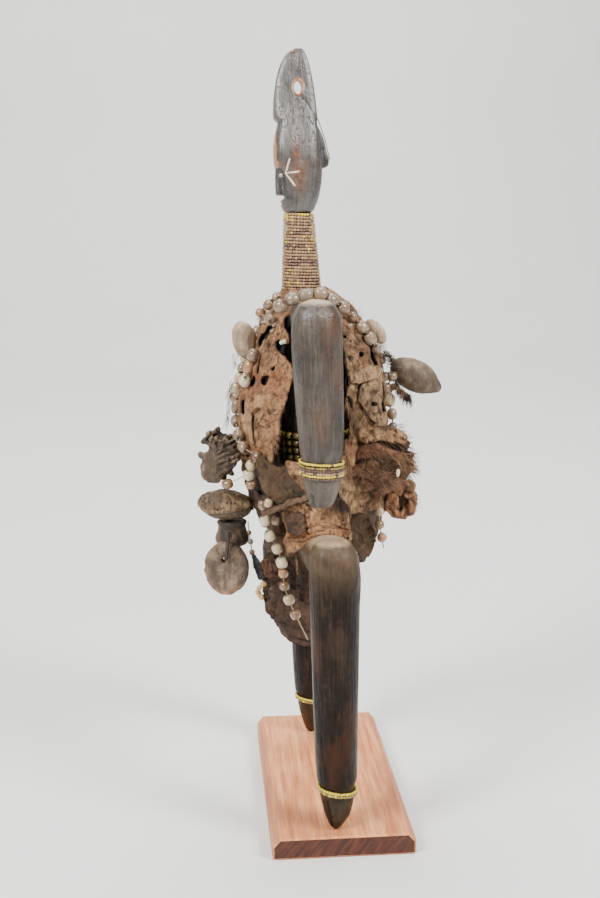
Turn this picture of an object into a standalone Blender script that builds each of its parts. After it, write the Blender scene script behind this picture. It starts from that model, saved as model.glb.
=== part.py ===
"""A namji doll: a carved wooden figure wrapped in hides and beads, standing on a wooden base plate.

Metres, +Z up. The doll faces -Y, its left side is +X, and the origin is the middle of the plate's underside.
Tables of the carving are in millimetres of a figure CARVED_HEIGHT tall; MM turns them into metres.
"""

import math

import bmesh
import bpy
from mathutils import Matrix, Vector, noise

GAP = 0.0003

# Base plate
PLATE_LENGTH = 0.192
PLATE_DEPTH = 0.090
PLATE_THICKNESS = 0.014
PLATE_CHAMFER_WIDTH = 0.0045
PLATE_CHAMFER_HEIGHT = 0.0053
PLATE_END_WEAR = 0.0012

# Figure
FIGURE_HEIGHT = 0.4774
CARVED_HEIGHT = 477.4
MM = FIGURE_HEIGHT / CARVED_HEIGHT
FOOT_LEVEL = PLATE_THICKNESS + GAP
FIGURE_X = 0.010
ARM_SPREAD = 0.0730
LEG_SPREAD = 0.0746
FAR_LEG_SHIFT = -0.0020
LIMB_FLATTENING = 0.96
HEAD_SIDES = 16
LIMB_SIDES = 12
CREST_HOLE_WIDTH = 0.0051
CREST_HOLE_HEIGHT = 0.0079
FOOT_SPLIT_WIDTH = 0.0014
FOOT_SPLIT_DEPTH = 0.0030

# Height, front, back and half width of the head, from the neck to the top of its crest
HEAD = (
    (379.0, -27.6, -10.2, 9.0),
    (380.2, -28.8, -9.0, 10.0),
    (383.0, -29.1, -7.8, 10.9),
    (388.5, -27.6, -5.8, 11.8),
    (398.0, -28.6, -4.2, 13.0),
    (404.6, -30.4, -4.0, 13.8),
    (406.0, -33.2, -4.1, 14.0),
    (410.6, -33.9, -4.5, 14.2),
    (416.0, -34.2, -4.9, 14.0),
    (424.0, -33.4, -5.6, 12.8),
    (429.4, -32.1, -6.3, 11.2),
    (433.5, -31.4, -7.0, 9.8),
    (434.8, -33.4, -6.8, 9.3),
    (436.2, -34.0, -6.7, 8.9),
    (444.2, -33.9, -7.4, 7.2),
    (452.8, -33.0, -8.4, 6.0),
    (461.4, -31.4, -9.9, 5.2),
    (468.6, -28.9, -11.6, 4.5),
    (474.5, -25.1, -13.8, 3.6),
    (477.4, -20.5, -15.6, 2.0),
)
HEAD_SQUARENESS = 2.9
# Height, front, back and half width of the fin behind the skull, which ends in a sharp lower corner
FIN = ((405.6, -12.0, -3.0, 1.9), (407.0, -12.0, 0.0, 2.0), (410.6, -12.0, 0.6, 1.9), (416.0, -12.0, -0.8, 1.8),
       (424.0, -12.0, -2.8, 1.8), (429.4, -13.0, -5.2, 1.8), (433.0, -14.0, -7.4, 1.8))
CREST_HOLE_CENTRE = (-18.7, 454.4)
# Height, front, back and half width of the nose and of the lips
NOSE = ((405.2, -32.9, -25.0, 2.4), (397.0, -33.1, -25.0, 2.7), (390.2, -33.0, -25.0, 3.2),
        (389.2, -32.6, -25.0, 3.0))
LIPS = ((387.0, -28.6, -24.0, 3.0), (385.4, -30.4, -24.0, 4.6), (383.9, -29.5, -24.0, 4.8),
        (382.8, -30.0, -24.0, 4.4), (381.8, -28.8, -24.0, 3.0))
# Height, half depth and middle of a limb, from the top down
ARM = (
    (329.5, 4.5, -14.5), (328.0, 8.5, -14.5), (325.0, 11.6, -14.5), (320.0, 13.8, -14.5), (313.0, 14.9, -14.5),
    (304.0, 15.1, -14.4), (283.0, 14.6, -13.6), (241.7, 13.2, -12.2), (235.5, 12.0, -12.1), (222.5, 11.7, -12.1),
    (214.7, 9.7, -12.1), (208.5, 7.3, -12.2), (206.3, 4.6, -12.2),
)
LEG = (
    (186.7, 4.5, -5.6), (185.4, 8.8, -5.6), (182.0, 12.4, -5.6), (175.7, 14.9, -5.2), (161.7, 15.7, -4.5),
    (148.7, 15.2, -4.5), (84.7, 13.9, -4.4), (32.5, 12.5, -3.6), (30.5, 11.0, -3.5), (23.5, 10.7, -3.4),
    (11.7, 8.4, -3.3), (4.0, 5.2, -4.0), (0.0, 2.4, -4.6),
)
# Height and radius of the trunk, which leans along BODY_AXIS
TRUNK = ((150.5, 11.0), (156.0, 16.0), (168.0, 19.0), (190.0, 20.0), (285.0, 20.0), (305.0, 19.0),
         (318.0, 14.6), (326.0, 12.6), (330.2, 12.2))
BODY_AXIS = ((165.7, -5.5), (330.7, -16.5))
# Distance out, half depth and half height of the shoulder bar and of the hip bar
SHOULDER_BAR = ((0.0, 13.0, 11.5), (34.0, 12.2, 11.3), (60.0, 12.6, 12.0), (73.0, 11.0, 11.0))
SHOULDER_CENTRE = (-15.0, 315.2)
HIP_BAR = ((0.0, 16.0, 12.5), (40.0, 17.0, 12.7), (62.0, 16.0, 12.2), (74.0, 11.0, 10.0))
HIP_CENTRE = (-5.5, 169.7)

# Seed beads strung round the neck, the wrists and the ankles
SEED_BEAD = 0.0021
NECK_ROW_COUNT = 24
NECK_FROM, NECK_TO = 330.6, 378.6
NECK_RADIUS_BOTTOM, NECK_RADIUS_TOP = 13.05, 9.85
NECK_MIDDLE_BOTTOM, NECK_MIDDLE_TOP = -17.15, -18.65
BAND_FIT = 0.0008
BRACELET_ROW_COUNT = 4
BRACELET_HEIGHT, BRACELET_RADIUS = 224.4, 15.0
ANKLET_ROW_COUNT = 2
ANKLET_HEIGHT, ANKLET_RADIUS = 24.6, 13.8
WAIST_BEAD = 0.0045
WAIST_ROW_COUNT = 5
WAIST_HEIGHT = 221.0
BAND_SIDES = 10
GROOVE_SHARE = 0.30

# Hides: height, front, back and half width of the wrapped body
WRAP = (
    (155.7, -36.0, 26.0, 30.0),
    (180.7, -49.0, 35.0, 40.0),
    (214.7, -56.5, 38.5, 45.5),
    (241.3, -59.0, 37.5, 47.0),
    (260.7, -58.0, 36.5, 46.5),
    (276.9, -53.5, 35.0, 45.0),
    (299.2, -47.0, 28.5, 40.0),
    (313.1, -39.5, 20.0, 34.0),
    (324.3, -32.5, 10.6, 24.0),
)
WRAP_SQUARENESS = 2.3
HIDE_THICKNESS = 0.0034
HIDE_CRUMPLE = 0.0018
HIDE_LAYER = HIDE_THICKNESS + HIDE_CRUMPLE + GAP

# Larger beads, strung on threads
BEAD_RADIUS = 0.0033
BEAD_PITCH = 0.0070
THREAD_RADIUS = 0.0004
STRAND_LIFT = BEAD_RADIUS + GAP
# Angle round from the doll's front, and height
STRAND_FRONT = ((37, 207.0), (37, 214.0), (36, 222.0), (30, 231.0), (25, 240.0), (20, 250.0), (17, 258.0),
                (15, 266.0), (13, 274.0), (16, 281.0), (20, 288.0), (24, 296.0), (31, 303.0), (40, 309.5))
STRAND_BACK = ((131, 314.0), (135, 306.5), (140, 298.0), (147, 290.0), (150, 283.0), (151, 276.0), (152, 268.0),
               (153, 260.0), (155, 252.0), (156, 245.0))
# Out from the body's middle, across and height, over the shoulder bar
STRAND_OVER = ((36.0, -28.4, 323.6), (38.0, -21.6, 329.0), (39.0, -15.0, 331.2), (38.0, -8.0, 330.2),
               (35.5, -1.2, 325.6))

# Threads that hang free, in millimetres from the plate's middle: across X, Y and height over the feet
FRONT_STRING = ((46.0, -45.5, 202.5), (46.5, -45.8, 196.0), (46.0, -44.2, 189.5), (45.0, -41.8, 180.5),
                (45.0, -37.2, 171.8), (45.0, -34.2, 163.2), (45.0, -33.0, 154.2), (45.0, -32.4, 146.3),
                (45.0, -29.6, 137.0), (45.0, -25.8, 127.5), (45.0, -21.4, 118.0), (45.0, -17.7, 109.8))
FRONT_STRING_BEAD_COUNT = 10
BACK_STRING = ((50.0, 27.6, 200.6), (50.0, 27.8, 195.5), (50.0, 27.4, 187.0), (50.0, 28.8, 179.0),
               (50.0, 30.2, 170.6))
BACK_STRING_BEAD_COUNT = 3
SPOOL_STRING = ((20.0, -53.8, 182.6), (20.0, -53.4, 176.0), (20.0, -52.2, 167.0), (20.0, -51.2, 158.0),
                (20.0, -50.6, 151.0))
SPOOL_STRING_BEAD_COUNT = 3
SPOOL_STRING_BEAD_RADIUS = 0.0021
DISC_THREAD_RADIUS = 0.0009
CREST_THREAD_RADIUS = 0.00025
CREST_THREAD_SPACING = 0.0035
# Out from the figure's middle, across and height: from the crest's hole down to the fin's outer edge
CREST_THREAD = ((7.0, -16.9, 450.5), (7.2, -13.5, 446.0), (7.3, -10.5, 440.5), (6.4, -7.8, 436.5),
                (4.2, -6.0, 433.8), (2.3, -5.1, 431.6), (1.0, -3.7, 428.0), (0.4, -2.0, 423.6),
                (0.2, -0.2, 416.4), (0.2, 1.2, 411.0))

# Charms
PEBBLE_ROUGHNESS = 0.0012


def make_collection(name, shown):
    collection = bpy.data.collections.new(name)
    bpy.context.scene.collection.children.link(collection)
    collection.hide_render = not shown
    return collection


for leftover in list(bpy.data.objects):
    bpy.data.objects.remove(leftover, do_unlink=True)
DOLL = make_collection("namji_doll", True)
CUTTERS = make_collection("cutters", False)


def make_material(name, colour, roughness, metallic=0.0):
    material = bpy.data.materials.new(name)
    material.use_nodes = True
    shader = material.node_tree.nodes["Principled BSDF"]
    shader.inputs["Base Color"].default_value = (*colour, 1.0)
    shader.inputs["Roughness"].default_value = roughness
    shader.inputs["Metallic"].default_value = metallic
    return material


PLATE_WOOD = make_material("plate_wood", (0.42, 0.20, 0.13), 0.55)
FIGURE_WOOD = make_material("figure_wood", (0.06, 0.045, 0.04), 0.42)
SEED_BEADS = make_material("seed_beads", (0.30, 0.19, 0.13), 0.45)
YELLOW_BEADS = make_material("yellow_beads", (0.65, 0.50, 0.05), 0.35)
LARGE_BEADS = make_material("large_beads", (0.55, 0.44, 0.34), 0.25)
HIDE = make_material("hide", (0.22, 0.12, 0.07), 0.9)
DARK_HIDE = make_material("dark_hide", (0.09, 0.055, 0.035), 0.85)
SEED_SKIN = make_material("seed_skin", (0.20, 0.16, 0.13), 0.8)
POD_SKIN = make_material("pod_skin", (0.13, 0.095, 0.065), 0.85)
BONE = make_material("bone", (0.60, 0.48, 0.28), 0.6)
CORD = make_material("cord", (0.10, 0.08, 0.06), 0.9)
INLAY = make_material("inlay", (0.75, 0.70, 0.60), 0.4)


def level(height):
    """The world height of a table's height."""
    return FOOT_LEVEL + height * MM


def place(x, y, height):
    """A world point from millimetres out from the figure's middle, across and up."""
    return Vector((FIGURE_X + x * MM, y * MM, level(height)))


def look_up(rows, key):
    """The rows' other columns at this key, by straight lines between rows that rise or fall by key."""
    rows = sorted(rows)
    if key <= rows[0][0]:
        return rows[0][1:]
    for low, high in zip(rows, rows[1:]):
        if key <= high[0]:
            share = (key - low[0]) / (high[0] - low[0])
            return tuple(a + (b - a) * share for a, b in zip(low[1:], high[1:]))
    return rows[-1][1:]


def add_object(name, mesh, material, collection=DOLL, smooth=True):
    obj = bpy.data.objects.new(name, mesh)
    collection.objects.link(obj)
    mesh.materials.clear()
    mesh.materials.append(material)
    for polygon in mesh.polygons:
        polygon.use_smooth = smooth
    if collection is CUTTERS:
        obj.display_type = "WIRE"
    return obj


def rounded_ring(middle, across, along, forward, backward, half, squareness, sides):
    """A closed section: half wide across, forward and backward deep along, square as the exponent says."""
    points = []
    for step in range(sides):
        turn = 2 * math.pi * (step + 0.5) / sides
        side, front = math.sin(turn), math.cos(turn)
        power = 2 / squareness
        out = math.copysign(abs(side) ** power, side) * half
        depth = math.copysign(abs(front) ** power, front) * (forward if front > 0 else backward)
        points.append(middle + across * out + along * depth)
    return points


def loft(name, rings, material, collection=DOLL, smooth=True):
    """A closed skin over rings with equal numbers of points, capped at both ends."""
    shape = bmesh.new()
    rows = [[shape.verts.new(point) for point in ring] for ring in rings]
    count = len(rows[0])
    for lower, upper in zip(rows, rows[1:]):
        for step in range(count):
            after = (step + 1) % count
            shape.faces.new((lower[step], lower[after], upper[after], upper[step]))
    shape.faces.new(rows[0])
    shape.faces.new(rows[-1])
    bmesh.ops.recalc_face_normals(shape, faces=shape.faces)
    mesh = bpy.data.meshes.new(name)
    shape.to_mesh(mesh)
    shape.free()
    return add_object(name, mesh, material, collection, smooth)


def upright_ring(height, front, back, half, squareness, sides):
    """A level section of the head, nose or lips."""
    middle = (front + back) / 2
    depth = (back - front) / 2 * MM
    return rounded_ring(place(0, middle, height), Vector((1, 0, 0)), Vector((0, -1, 0)), depth, depth,
                        half * MM, squareness, sides)


def boolean(obj, other, operation):
    modifier = obj.modifiers.new(f"{operation.lower()}_{other.name}", "BOOLEAN")
    modifier.operation = operation
    modifier.solver = "EXACT"
    modifier.object = other


def limb(name, rows, side_x, shift_y, grow=0.0, sides=LIMB_SIDES):
    rings = []
    for height, half, middle in rows:
        half = half * MM + grow
        centre = Vector((side_x, middle * MM + shift_y, level(height)))
        rings.append(rounded_ring(centre, Vector((1, 0, 0)), Vector((0, -1, 0)), half, half,
                                  half * LIMB_FLATTENING, 2, sides))
    return loft(name, rings, FIGURE_WOOD, CUTTERS)


def cross_bar(name, rows, centre, spread, sides=LIMB_SIDES):
    """A bar through the trunk that carries a pair of limbs; its last row sits inside the limb."""
    reach = rows[-1][0]
    mirrored = [(-row[0], *row[1:]) for row in reversed(rows[1:])] + list(rows)
    rings = []
    for out, depth, tall in mirrored:
        middle = Vector((FIGURE_X + out / reach * spread, centre[0] * MM, level(centre[1])))
        rings.append(rounded_ring(middle, Vector((0, 1, 0)), Vector((0, 0, 1)), tall * MM, tall * MM,
                                  depth * MM, 2, sides))
    return loft(name, rings, FIGURE_WOOD, CUTTERS)


def body_middle(height):
    (low, low_y), (high, high_y) = BODY_AXIS
    share = min(max((height - low) / (high - low), 0.0), 1.0)
    return low_y + (high_y - low_y) * share


def base_plate():
    shape = bmesh.new()
    bmesh.ops.create_cube(shape, size=1.0)
    bmesh.ops.scale(shape, verts=shape.verts, vec=(PLATE_LENGTH, PLATE_DEPTH, PLATE_THICKNESS))
    bmesh.ops.translate(shape, verts=shape.verts, vec=(0, 0, PLATE_THICKNESS / 2))
    mesh = bpy.data.meshes.new("base_plate")
    shape.to_mesh(mesh)
    shape.free()
    plate = add_object("base_plate", mesh, PLATE_WOOD, smooth=False)
    for side in (-1, 1):
        edge = side * PLATE_DEPTH / 2
        far = side * PLATE_CHAMFER_WIDTH
        corner = [
            Vector((0, edge - far, PLATE_THICKNESS)),
            Vector((0, edge + far, PLATE_THICKNESS + PLATE_CHAMFER_HEIGHT)),
            Vector((0, edge + far, PLATE_THICKNESS - PLATE_CHAMFER_HEIGHT)),
            Vector((0, edge, PLATE_THICKNESS - PLATE_CHAMFER_HEIGHT)),
        ]
        rings = [[point + Vector((end * PLATE_LENGTH, 0, 0)) for point in corner] for end in (-1, 1)]
        boolean(plate, loft(f"plate_chamfer_{side}", rings, PLATE_WOOD, CUTTERS, False), "DIFFERENCE")
    worn = plate.modifiers.new("worn_edges", "BEVEL")
    worn.width = PLATE_END_WEAR
    worn.segments = 1
    worn.limit_method = "ANGLE"
    worn.angle_limit = math.radians(60)
    return plate


def neck_lean():
    rise = (NECK_TO - NECK_FROM) * MM
    return math.atan2((NECK_MIDDLE_BOTTOM - NECK_MIDDLE_TOP) * MM, rise)


def figure():
    rings = [upright_ring(*row, HEAD_SQUARENESS, HEAD_SIDES) for row in HEAD]
    body = loft("figure", rings, FIGURE_WOOD)
    joined = [
        loft("fin", [upright_ring(*row, 3.0, 8) for row in FIN], FIGURE_WOOD, CUTTERS),
        loft("nose", [upright_ring(*row, 2.6, 8) for row in reversed(NOSE)], FIGURE_WOOD, CUTTERS),
        loft("lips", [upright_ring(*row, 1.8, 8) for row in reversed(LIPS)], FIGURE_WOOD, CUTTERS),
    ]
    neck_rings = []
    fit = SEED_BEAD + BAND_FIT
    for height, radius, middle in ((NECK_FROM - 6, NECK_RADIUS_BOTTOM, NECK_MIDDLE_BOTTOM),
                                   (NECK_TO + 3, NECK_RADIUS_TOP, NECK_MIDDLE_TOP)):
        half = radius * MM - fit
        neck_rings.append(rounded_ring(place(0, middle, height), Vector((1, 0, 0)), Vector((0, -1, 0)),
                                       half, half, half, 2, 14))
    joined.append(loft("neck", neck_rings, FIGURE_WOOD, CUTTERS))
    trunk_rings = []
    for height, radius in TRUNK:
        half = radius * MM
        trunk_rings.append(rounded_ring(place(0, body_middle(height), height), Vector((1, 0, 0)),
                                        Vector((0, -1, 0)), half, half, half, 2, 14))
    joined.append(loft("trunk", trunk_rings, FIGURE_WOOD, CUTTERS))
    joined.append(cross_bar("shoulders", SHOULDER_BAR, SHOULDER_CENTRE, ARM_SPREAD))
    joined.append(cross_bar("hips", HIP_BAR, HIP_CENTRE, LEG_SPREAD))
    for side, word, shift in ((1, "left", 0.0), (-1, "right", FAR_LEG_SHIFT)):
        joined.append(limb(f"arm_{word}", ARM, FIGURE_X + side * ARM_SPREAD, 0.0))
        joined.append(limb(f"leg_{word}", LEG, FIGURE_X + side * LEG_SPREAD, shift))
    for piece in joined:
        boolean(body, piece, "UNION")
    hole_y, hole_height = CREST_HOLE_CENTRE
    hole = [rounded_ring(place(out, hole_y, hole_height), Vector((0, 1, 0)), Vector((0, 0, 1)),
                         CREST_HOLE_HEIGHT / 2, CREST_HOLE_HEIGHT / 2, CREST_HOLE_WIDTH / 2, 2, 12)
            for out in (-15, 15)]
    boolean(body, loft("crest_hole", hole, FIGURE_WOOD, CUTTERS), "DIFFERENCE")
    for side, word, shift in ((1, "left", 0.0), (-1, "right", FAR_LEG_SHIFT)):
        foot_x = FIGURE_X + side * LEG_SPREAD
        rings = []
        for height, reach in ((-1.0, 1.4), (4.0, 1.2), (13.0, 0.0)):
            _, half, middle = look_limb(LEG, max(height, 0.0))
            front = (middle - half) * MM + shift
            depth = FOOT_SPLIT_DEPTH * reach / 1.4
            width = FOOT_SPLIT_WIDTH / 2 * (0.4 + reach / 2)
            rings.append([Vector((foot_x - width, front - 0.002, level(height))),
                          Vector((foot_x + width, front - 0.002, level(height))),
                          Vector((foot_x + width * 0.2, front + depth, level(height))),
                          Vector((foot_x - width * 0.2, front + depth, level(height)))])
        boolean(body, loft(f"foot_split_{word}", rings, FIGURE_WOOD, CUTTERS), "DIFFERENCE")
    return body


def look_limb(rows, height):
    half, middle = look_up(rows, height)
    return height, half, middle


def bead_band(name, centre, radii, rows, pitch, bead, material, lean=0.0, flattening=1.0):
    """Rows of small beads side by side as one ribbed sleeve: a profile turned by a Screw modifier."""
    low, high = radii
    tall = rows * pitch
    outer = []
    for step in range(rows * 2 + 1):
        share = step / (rows * 2)
        radius = low + (high - low) * share
        if step % 2 == 0:
            radius -= bead * GROOVE_SHARE
        outer.append((radius, share * tall))
    profile = [(low - bead, 0.0), *outer, (high - bead, tall)]
    shape = bmesh.new()
    corners = [shape.verts.new((radius, 0.0, height)) for radius, height in profile]
    for start, end in zip(corners, corners[1:] + corners[:1]):
        shape.edges.new((start, end))
    mesh = bpy.data.meshes.new(name)
    shape.to_mesh(mesh)
    shape.free()
    band = add_object(name, mesh, material)
    band.location = centre
    band.rotation_euler.x = lean
    band.scale.x = flattening
    turn = band.modifiers.new("turn", "SCREW")
    turn.axis = "Z"
    turn.steps = BAND_SIDES
    turn.render_steps = BAND_SIDES
    turn.use_merge_vertices = True
    turn.merge_threshold = 0.00001
    turn.use_normal_calculate = True
    return band


def bead_bands():
    pitch = (NECK_TO - NECK_FROM) * MM / NECK_ROW_COUNT
    bead_band("neck_beads", place(0, NECK_MIDDLE_BOTTOM, NECK_FROM),
              (NECK_RADIUS_BOTTOM * MM, NECK_RADIUS_TOP * MM), NECK_ROW_COUNT, pitch, SEED_BEAD, SEED_BEADS,
              neck_lean())
    for side, word, shift in ((1, "left", 0.0), (-1, "right", FAR_LEG_SHIFT)):
        _, _, arm_y = look_limb(ARM, BRACELET_HEIGHT)
        wrist = Vector((FIGURE_X + side * ARM_SPREAD, arm_y * MM, level(BRACELET_HEIGHT)))
        bead_band(f"bracelet_{word}", wrist, (BRACELET_RADIUS * MM, BRACELET_RADIUS * MM), BRACELET_ROW_COUNT,
                  SEED_BEAD * 1.2, SEED_BEAD, YELLOW_BEADS, 0.0, LIMB_FLATTENING)
        _, _, leg_y = look_limb(LEG, ANKLET_HEIGHT)
        ankle = Vector((FIGURE_X + side * LEG_SPREAD, leg_y * MM + shift, level(ANKLET_HEIGHT)))
        bead_band(f"anklet_{word}", ankle, (ANKLET_RADIUS * MM, ANKLET_RADIUS * MM), ANKLET_ROW_COUNT,
                  SEED_BEAD * 1.2, SEED_BEAD, YELLOW_BEADS, 0.0, LIMB_FLATTENING)
    radius = look_up(TRUNK, WAIST_HEIGHT)[0] * MM + BAND_FIT + WAIST_BEAD + GAP
    middle = body_middle(WAIST_HEIGHT)
    bead_band("waist_beads", place(0, middle, WAIST_HEIGHT), (radius + GAP * 2, radius + GAP * 2),
              WAIST_ROW_COUNT, WAIST_BEAD, WAIST_BEAD, YELLOW_BEADS, body_lean())


def body_lean():
    (low, low_y), (high, high_y) = BODY_AXIS
    return math.atan2(low_y - high_y, high - low)


def on_wrap(angle, height, lift=0.0):
    """A point on the wrapped body, this many degrees round from its front by its left side, lifted out by lift."""
    front, back, half = look_up(WRAP, height)
    middle = body_middle(height)
    turn = math.radians(angle)
    side, ahead = math.sin(turn), math.cos(turn)
    power = 2 / WRAP_SQUARENESS
    reach = (middle - front if ahead > 0 else back - middle) * MM + lift
    depth = -math.copysign(abs(ahead) ** power, ahead) * reach
    out = math.copysign(abs(side) ** power, side) * (half * MM + lift)
    return Vector((FIGURE_X + out, middle * MM + depth, level(height)))


def crumple(point, seed):
    """From 0 to 1, smooth over a centimetre or two."""
    value = noise.noise(point * 70 + Vector((seed, seed * 0.7, -seed)))
    return min(max(0.5 + value * 0.9, 0.0), 1.0)


def hide_panel(name, angles, lower, upper, columns, rows, lift, seed, material=HIDE):
    """A crumpled open sheet on the wrapped body with thickness inwards; lower and upper give its hems by angle."""
    shape = bmesh.new()
    grid = []
    for column in range(columns + 1):
        angle = angles[0] + (angles[1] - angles[0]) * column / columns
        low, high = lower(angle), upper(angle)
        line = []
        for row in range(rows + 1):
            height = low + (high - low) * row / rows
            point = on_wrap(angle, height, lift)
            point = on_wrap(angle, height, lift - HIDE_CRUMPLE * crumple(point, seed))
            line.append(shape.verts.new(point))
        grid.append(line)
    for left, right in zip(grid, grid[1:]):
        for row in range(rows):
            shape.faces.new((left[row], right[row], right[row + 1], left[row + 1]))
    mesh = bpy.data.meshes.new(name)
    shape.to_mesh(mesh)
    shape.free()
    panel = add_object(name, mesh, material)
    solid = panel.modifiers.new("thickness", "SOLIDIFY")
    solid.thickness = HIDE_THICKNESS
    solid.offset = -1
    return panel


def ragged(angle, size, seed):
    return size * noise.noise(Vector((math.radians(angle) * 4.5, seed, 0.3)))


def hides():
    hide_panel("hide_front", (-72, 72),
               lambda angle: 184.0 + 20.0 * abs(angle) / 72 + ragged(angle, 5.0, 1.0),
               lambda angle: 318.0 - 26.0 * (angle / 72) ** 2 + ragged(angle, 1.5, 2.0),
               12, 7, 0.0, 3.0)
    hide_panel("hide_back", (103, 257),
               lambda angle: 191.0 + abs(ragged(angle, 4.0, 4.0)),
               lambda angle: 316.0 - 20.0 * ((angle - 180) / 72) ** 2 + ragged(angle, 2.0, 5.0),
               11, 7, 0.0, 8.0)
    hide_panel("hide_back_lower", (128, 232),
               lambda angle: 155.0 + 6.0 * abs(angle - 180) / 52 + ragged(angle, 3.0, 6.0),
               lambda angle: 188.5, 8, 3, 0.0, 12.0, DARK_HIDE)
    for word, angles in (("left", (52, 119)), ("right", (241, 308))):
        hide_panel(f"hide_apron_{word}", angles, lambda angle: 185.5, lambda angle: 213.0,
                   7, 2, -HIDE_LAYER, 17.0)


def hanging_slab(name, corners, thickness, columns, rows, seed, material):
    """A crumpled sheet between four corners: lower front, lower back, upper back, upper front."""
    shape = bmesh.new()
    low_front, low_back, high_back, high_front = (Vector(corner) for corner in corners)
    grid = []
    for column in range(columns + 1):
        across = column / columns
        line = []
        for row in range(rows + 1):
            up = row / rows
            point = low_front.lerp(low_back, across).lerp(high_front.lerp(high_back, across), up)
            point = place(point.x, point.y, point.z)
            point.x += HIDE_CRUMPLE * (crumple(point, seed) - 0.5) * 2
            line.append(shape.verts.new(point))
        grid.append(line)
    for left, right in zip(grid, grid[1:]):
        for row in range(rows):
            shape.faces.new((left[row], right[row], right[row + 1], left[row + 1]))
    mesh = bpy.data.meshes.new(name)
    shape.to_mesh(mesh)
    shape.free()
    slab = add_object(name, mesh, material)
    solid = slab.modifiers.new("thickness", "SOLIDIFY")
    solid.thickness = thickness
    solid.offset = 0
    return slab


def smooth_route(points, spacing):
    """Evenly spaced points on a Catmull-Rom curve through the route's own points."""
    ends = [points[0] * 2 - points[1], *points, points[-1] * 2 - points[-2]]
    fine = []
    for before, start, end, after in zip(ends, ends[1:], ends[2:], ends[3:]):
        for step in range(12):
            t = step / 12
            fine.append(0.5 * ((2 * start) + (end - before) * t
                               + (2 * before - 5 * start + 4 * end - after) * t * t
                               + (3 * start - before - 3 * end + after) * t ** 3))
    fine.append(points[-1])
    lengths = [0.0]
    for start, end in zip(fine, fine[1:]):
        lengths.append(lengths[-1] + (end - start).length)
    count = max(round(lengths[-1] / spacing), 1)
    even = []
    index = 0
    for step in range(count + 1):
        wanted = lengths[-1] * step / count
        while index < len(lengths) - 2 and lengths[index + 1] < wanted:
            index += 1
        share = (wanted - lengths[index]) / max(lengths[index + 1] - lengths[index], 1e-9)
        even.append(fine[index].lerp(fine[index + 1], share))
    return even


def tube(name, points, radii, material, resolution=1):
    curve = bpy.data.curves.new(name, "CURVE")
    curve.dimensions = "3D"
    thickest = max(radii)
    curve.bevel_depth = thickest
    curve.bevel_resolution = resolution
    curve.use_fill_caps = True
    spline = curve.splines.new("POLY")
    spline.points.add(len(points) - 1)
    for point, co, radius in zip(spline.points, points, radii):
        point.co = (*co, 1.0)
        point.radius = radius / thickest
    curve.materials.append(material)
    obj = bpy.data.objects.new(name, curve)
    DOLL.objects.link(obj)
    return obj


def bead_strand(name, route, bead_radius, material, resolution=1):
    """A thread and its beads as one tube: thin between beads, full at each bead's middle."""
    stations = smooth_route(route, BEAD_PITCH / 2)
    radii = [bead_radius if step % 2 else THREAD_RADIUS for step in range(len(stations))]
    return tube(name, stations, radii, material, resolution)


def hanging_string(name, route, beads, bead_radius, resolution):
    """A free thread with its beads, each a bulge of two rings; the thread goes on bare past the last bead."""
    spots = smooth_route(route, bead_radius * 0.75)
    points, radii = [], []
    for index, spot in enumerate(spots):
        position = index - 1
        inside = 0 <= position < beads * 3 and position % 3 != 2
        points.append(spot)
        radii.append(bead_radius if inside else THREAD_RADIUS)
    return tube(name, points, radii, LARGE_BEADS, resolution)


def strands():
    left = [on_wrap(angle, height, STRAND_LIFT) for angle, height in STRAND_FRONT]
    left += [place(*spot) for spot in STRAND_OVER]
    left += [on_wrap(angle, height, STRAND_LIFT) for angle, height in STRAND_BACK]
    bead_strand("bead_strand_left", left, BEAD_RADIUS, LARGE_BEADS)
    right = [on_wrap(-angle, height, STRAND_LIFT) for angle, height in STRAND_FRONT[5:]]
    right += [place(-out, y, height) for out, y, height in STRAND_OVER]
    right += [on_wrap(-angle, height, STRAND_LIFT) for angle, height in STRAND_BACK[:7]]
    bead_strand("bead_strand_right", right, BEAD_RADIUS, LARGE_BEADS, 0)
    for name, route, beads, radius, resolution in (
            ("bead_string_front", FRONT_STRING, FRONT_STRING_BEAD_COUNT, BEAD_RADIUS, 1),
            ("bead_string_back", BACK_STRING, BACK_STRING_BEAD_COUNT, BEAD_RADIUS, 1),
            ("bead_string_spool", SPOOL_STRING, SPOOL_STRING_BEAD_COUNT, SPOOL_STRING_BEAD_RADIUS, 0)):
        points = [Vector((x * MM, y * MM, level(height))) for x, y, height in route]
        hanging_string(name, points, beads, radius, resolution)


def pebble(name, centre, half, material, turn=(0, 0, 0), seed=1.0, rough=PEBBLE_ROUGHNESS, detail=2, pull=0.0):
    """A lumpy seed or pod: a small ball with noise, scaled, turned and set; pull draws its -Y end to a point."""
    shape = bmesh.new()
    bmesh.ops.create_icosphere(shape, subdivisions=detail, radius=1.0)
    size = Vector(half) * MM
    for vert in shape.verts:
        bump = noise.noise(vert.co * 2.2 + Vector((seed, 0, seed)))
        taper = 1.0 - pull * max(-vert.co.y, 0.0) ** 2
        point = Vector((vert.co.x * taper, vert.co.y, vert.co.z * taper))
        vert.co = Vector(a * b for a, b in zip(point, size)) + vert.co * bump * rough
    bmesh.ops.rotate(shape, verts=shape.verts, cent=(0, 0, 0),
                     matrix=Matrix.Rotation(math.radians(turn[0]), 3, "X")
                     @ Matrix.Rotation(math.radians(turn[1]), 3, "Y")
                     @ Matrix.Rotation(math.radians(turn[2]), 3, "Z"))
    mesh = bpy.data.meshes.new(name)
    shape.to_mesh(mesh)
    shape.free()
    obj = add_object(name, mesh, material)
    obj.location = place(*centre)
    return obj


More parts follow.
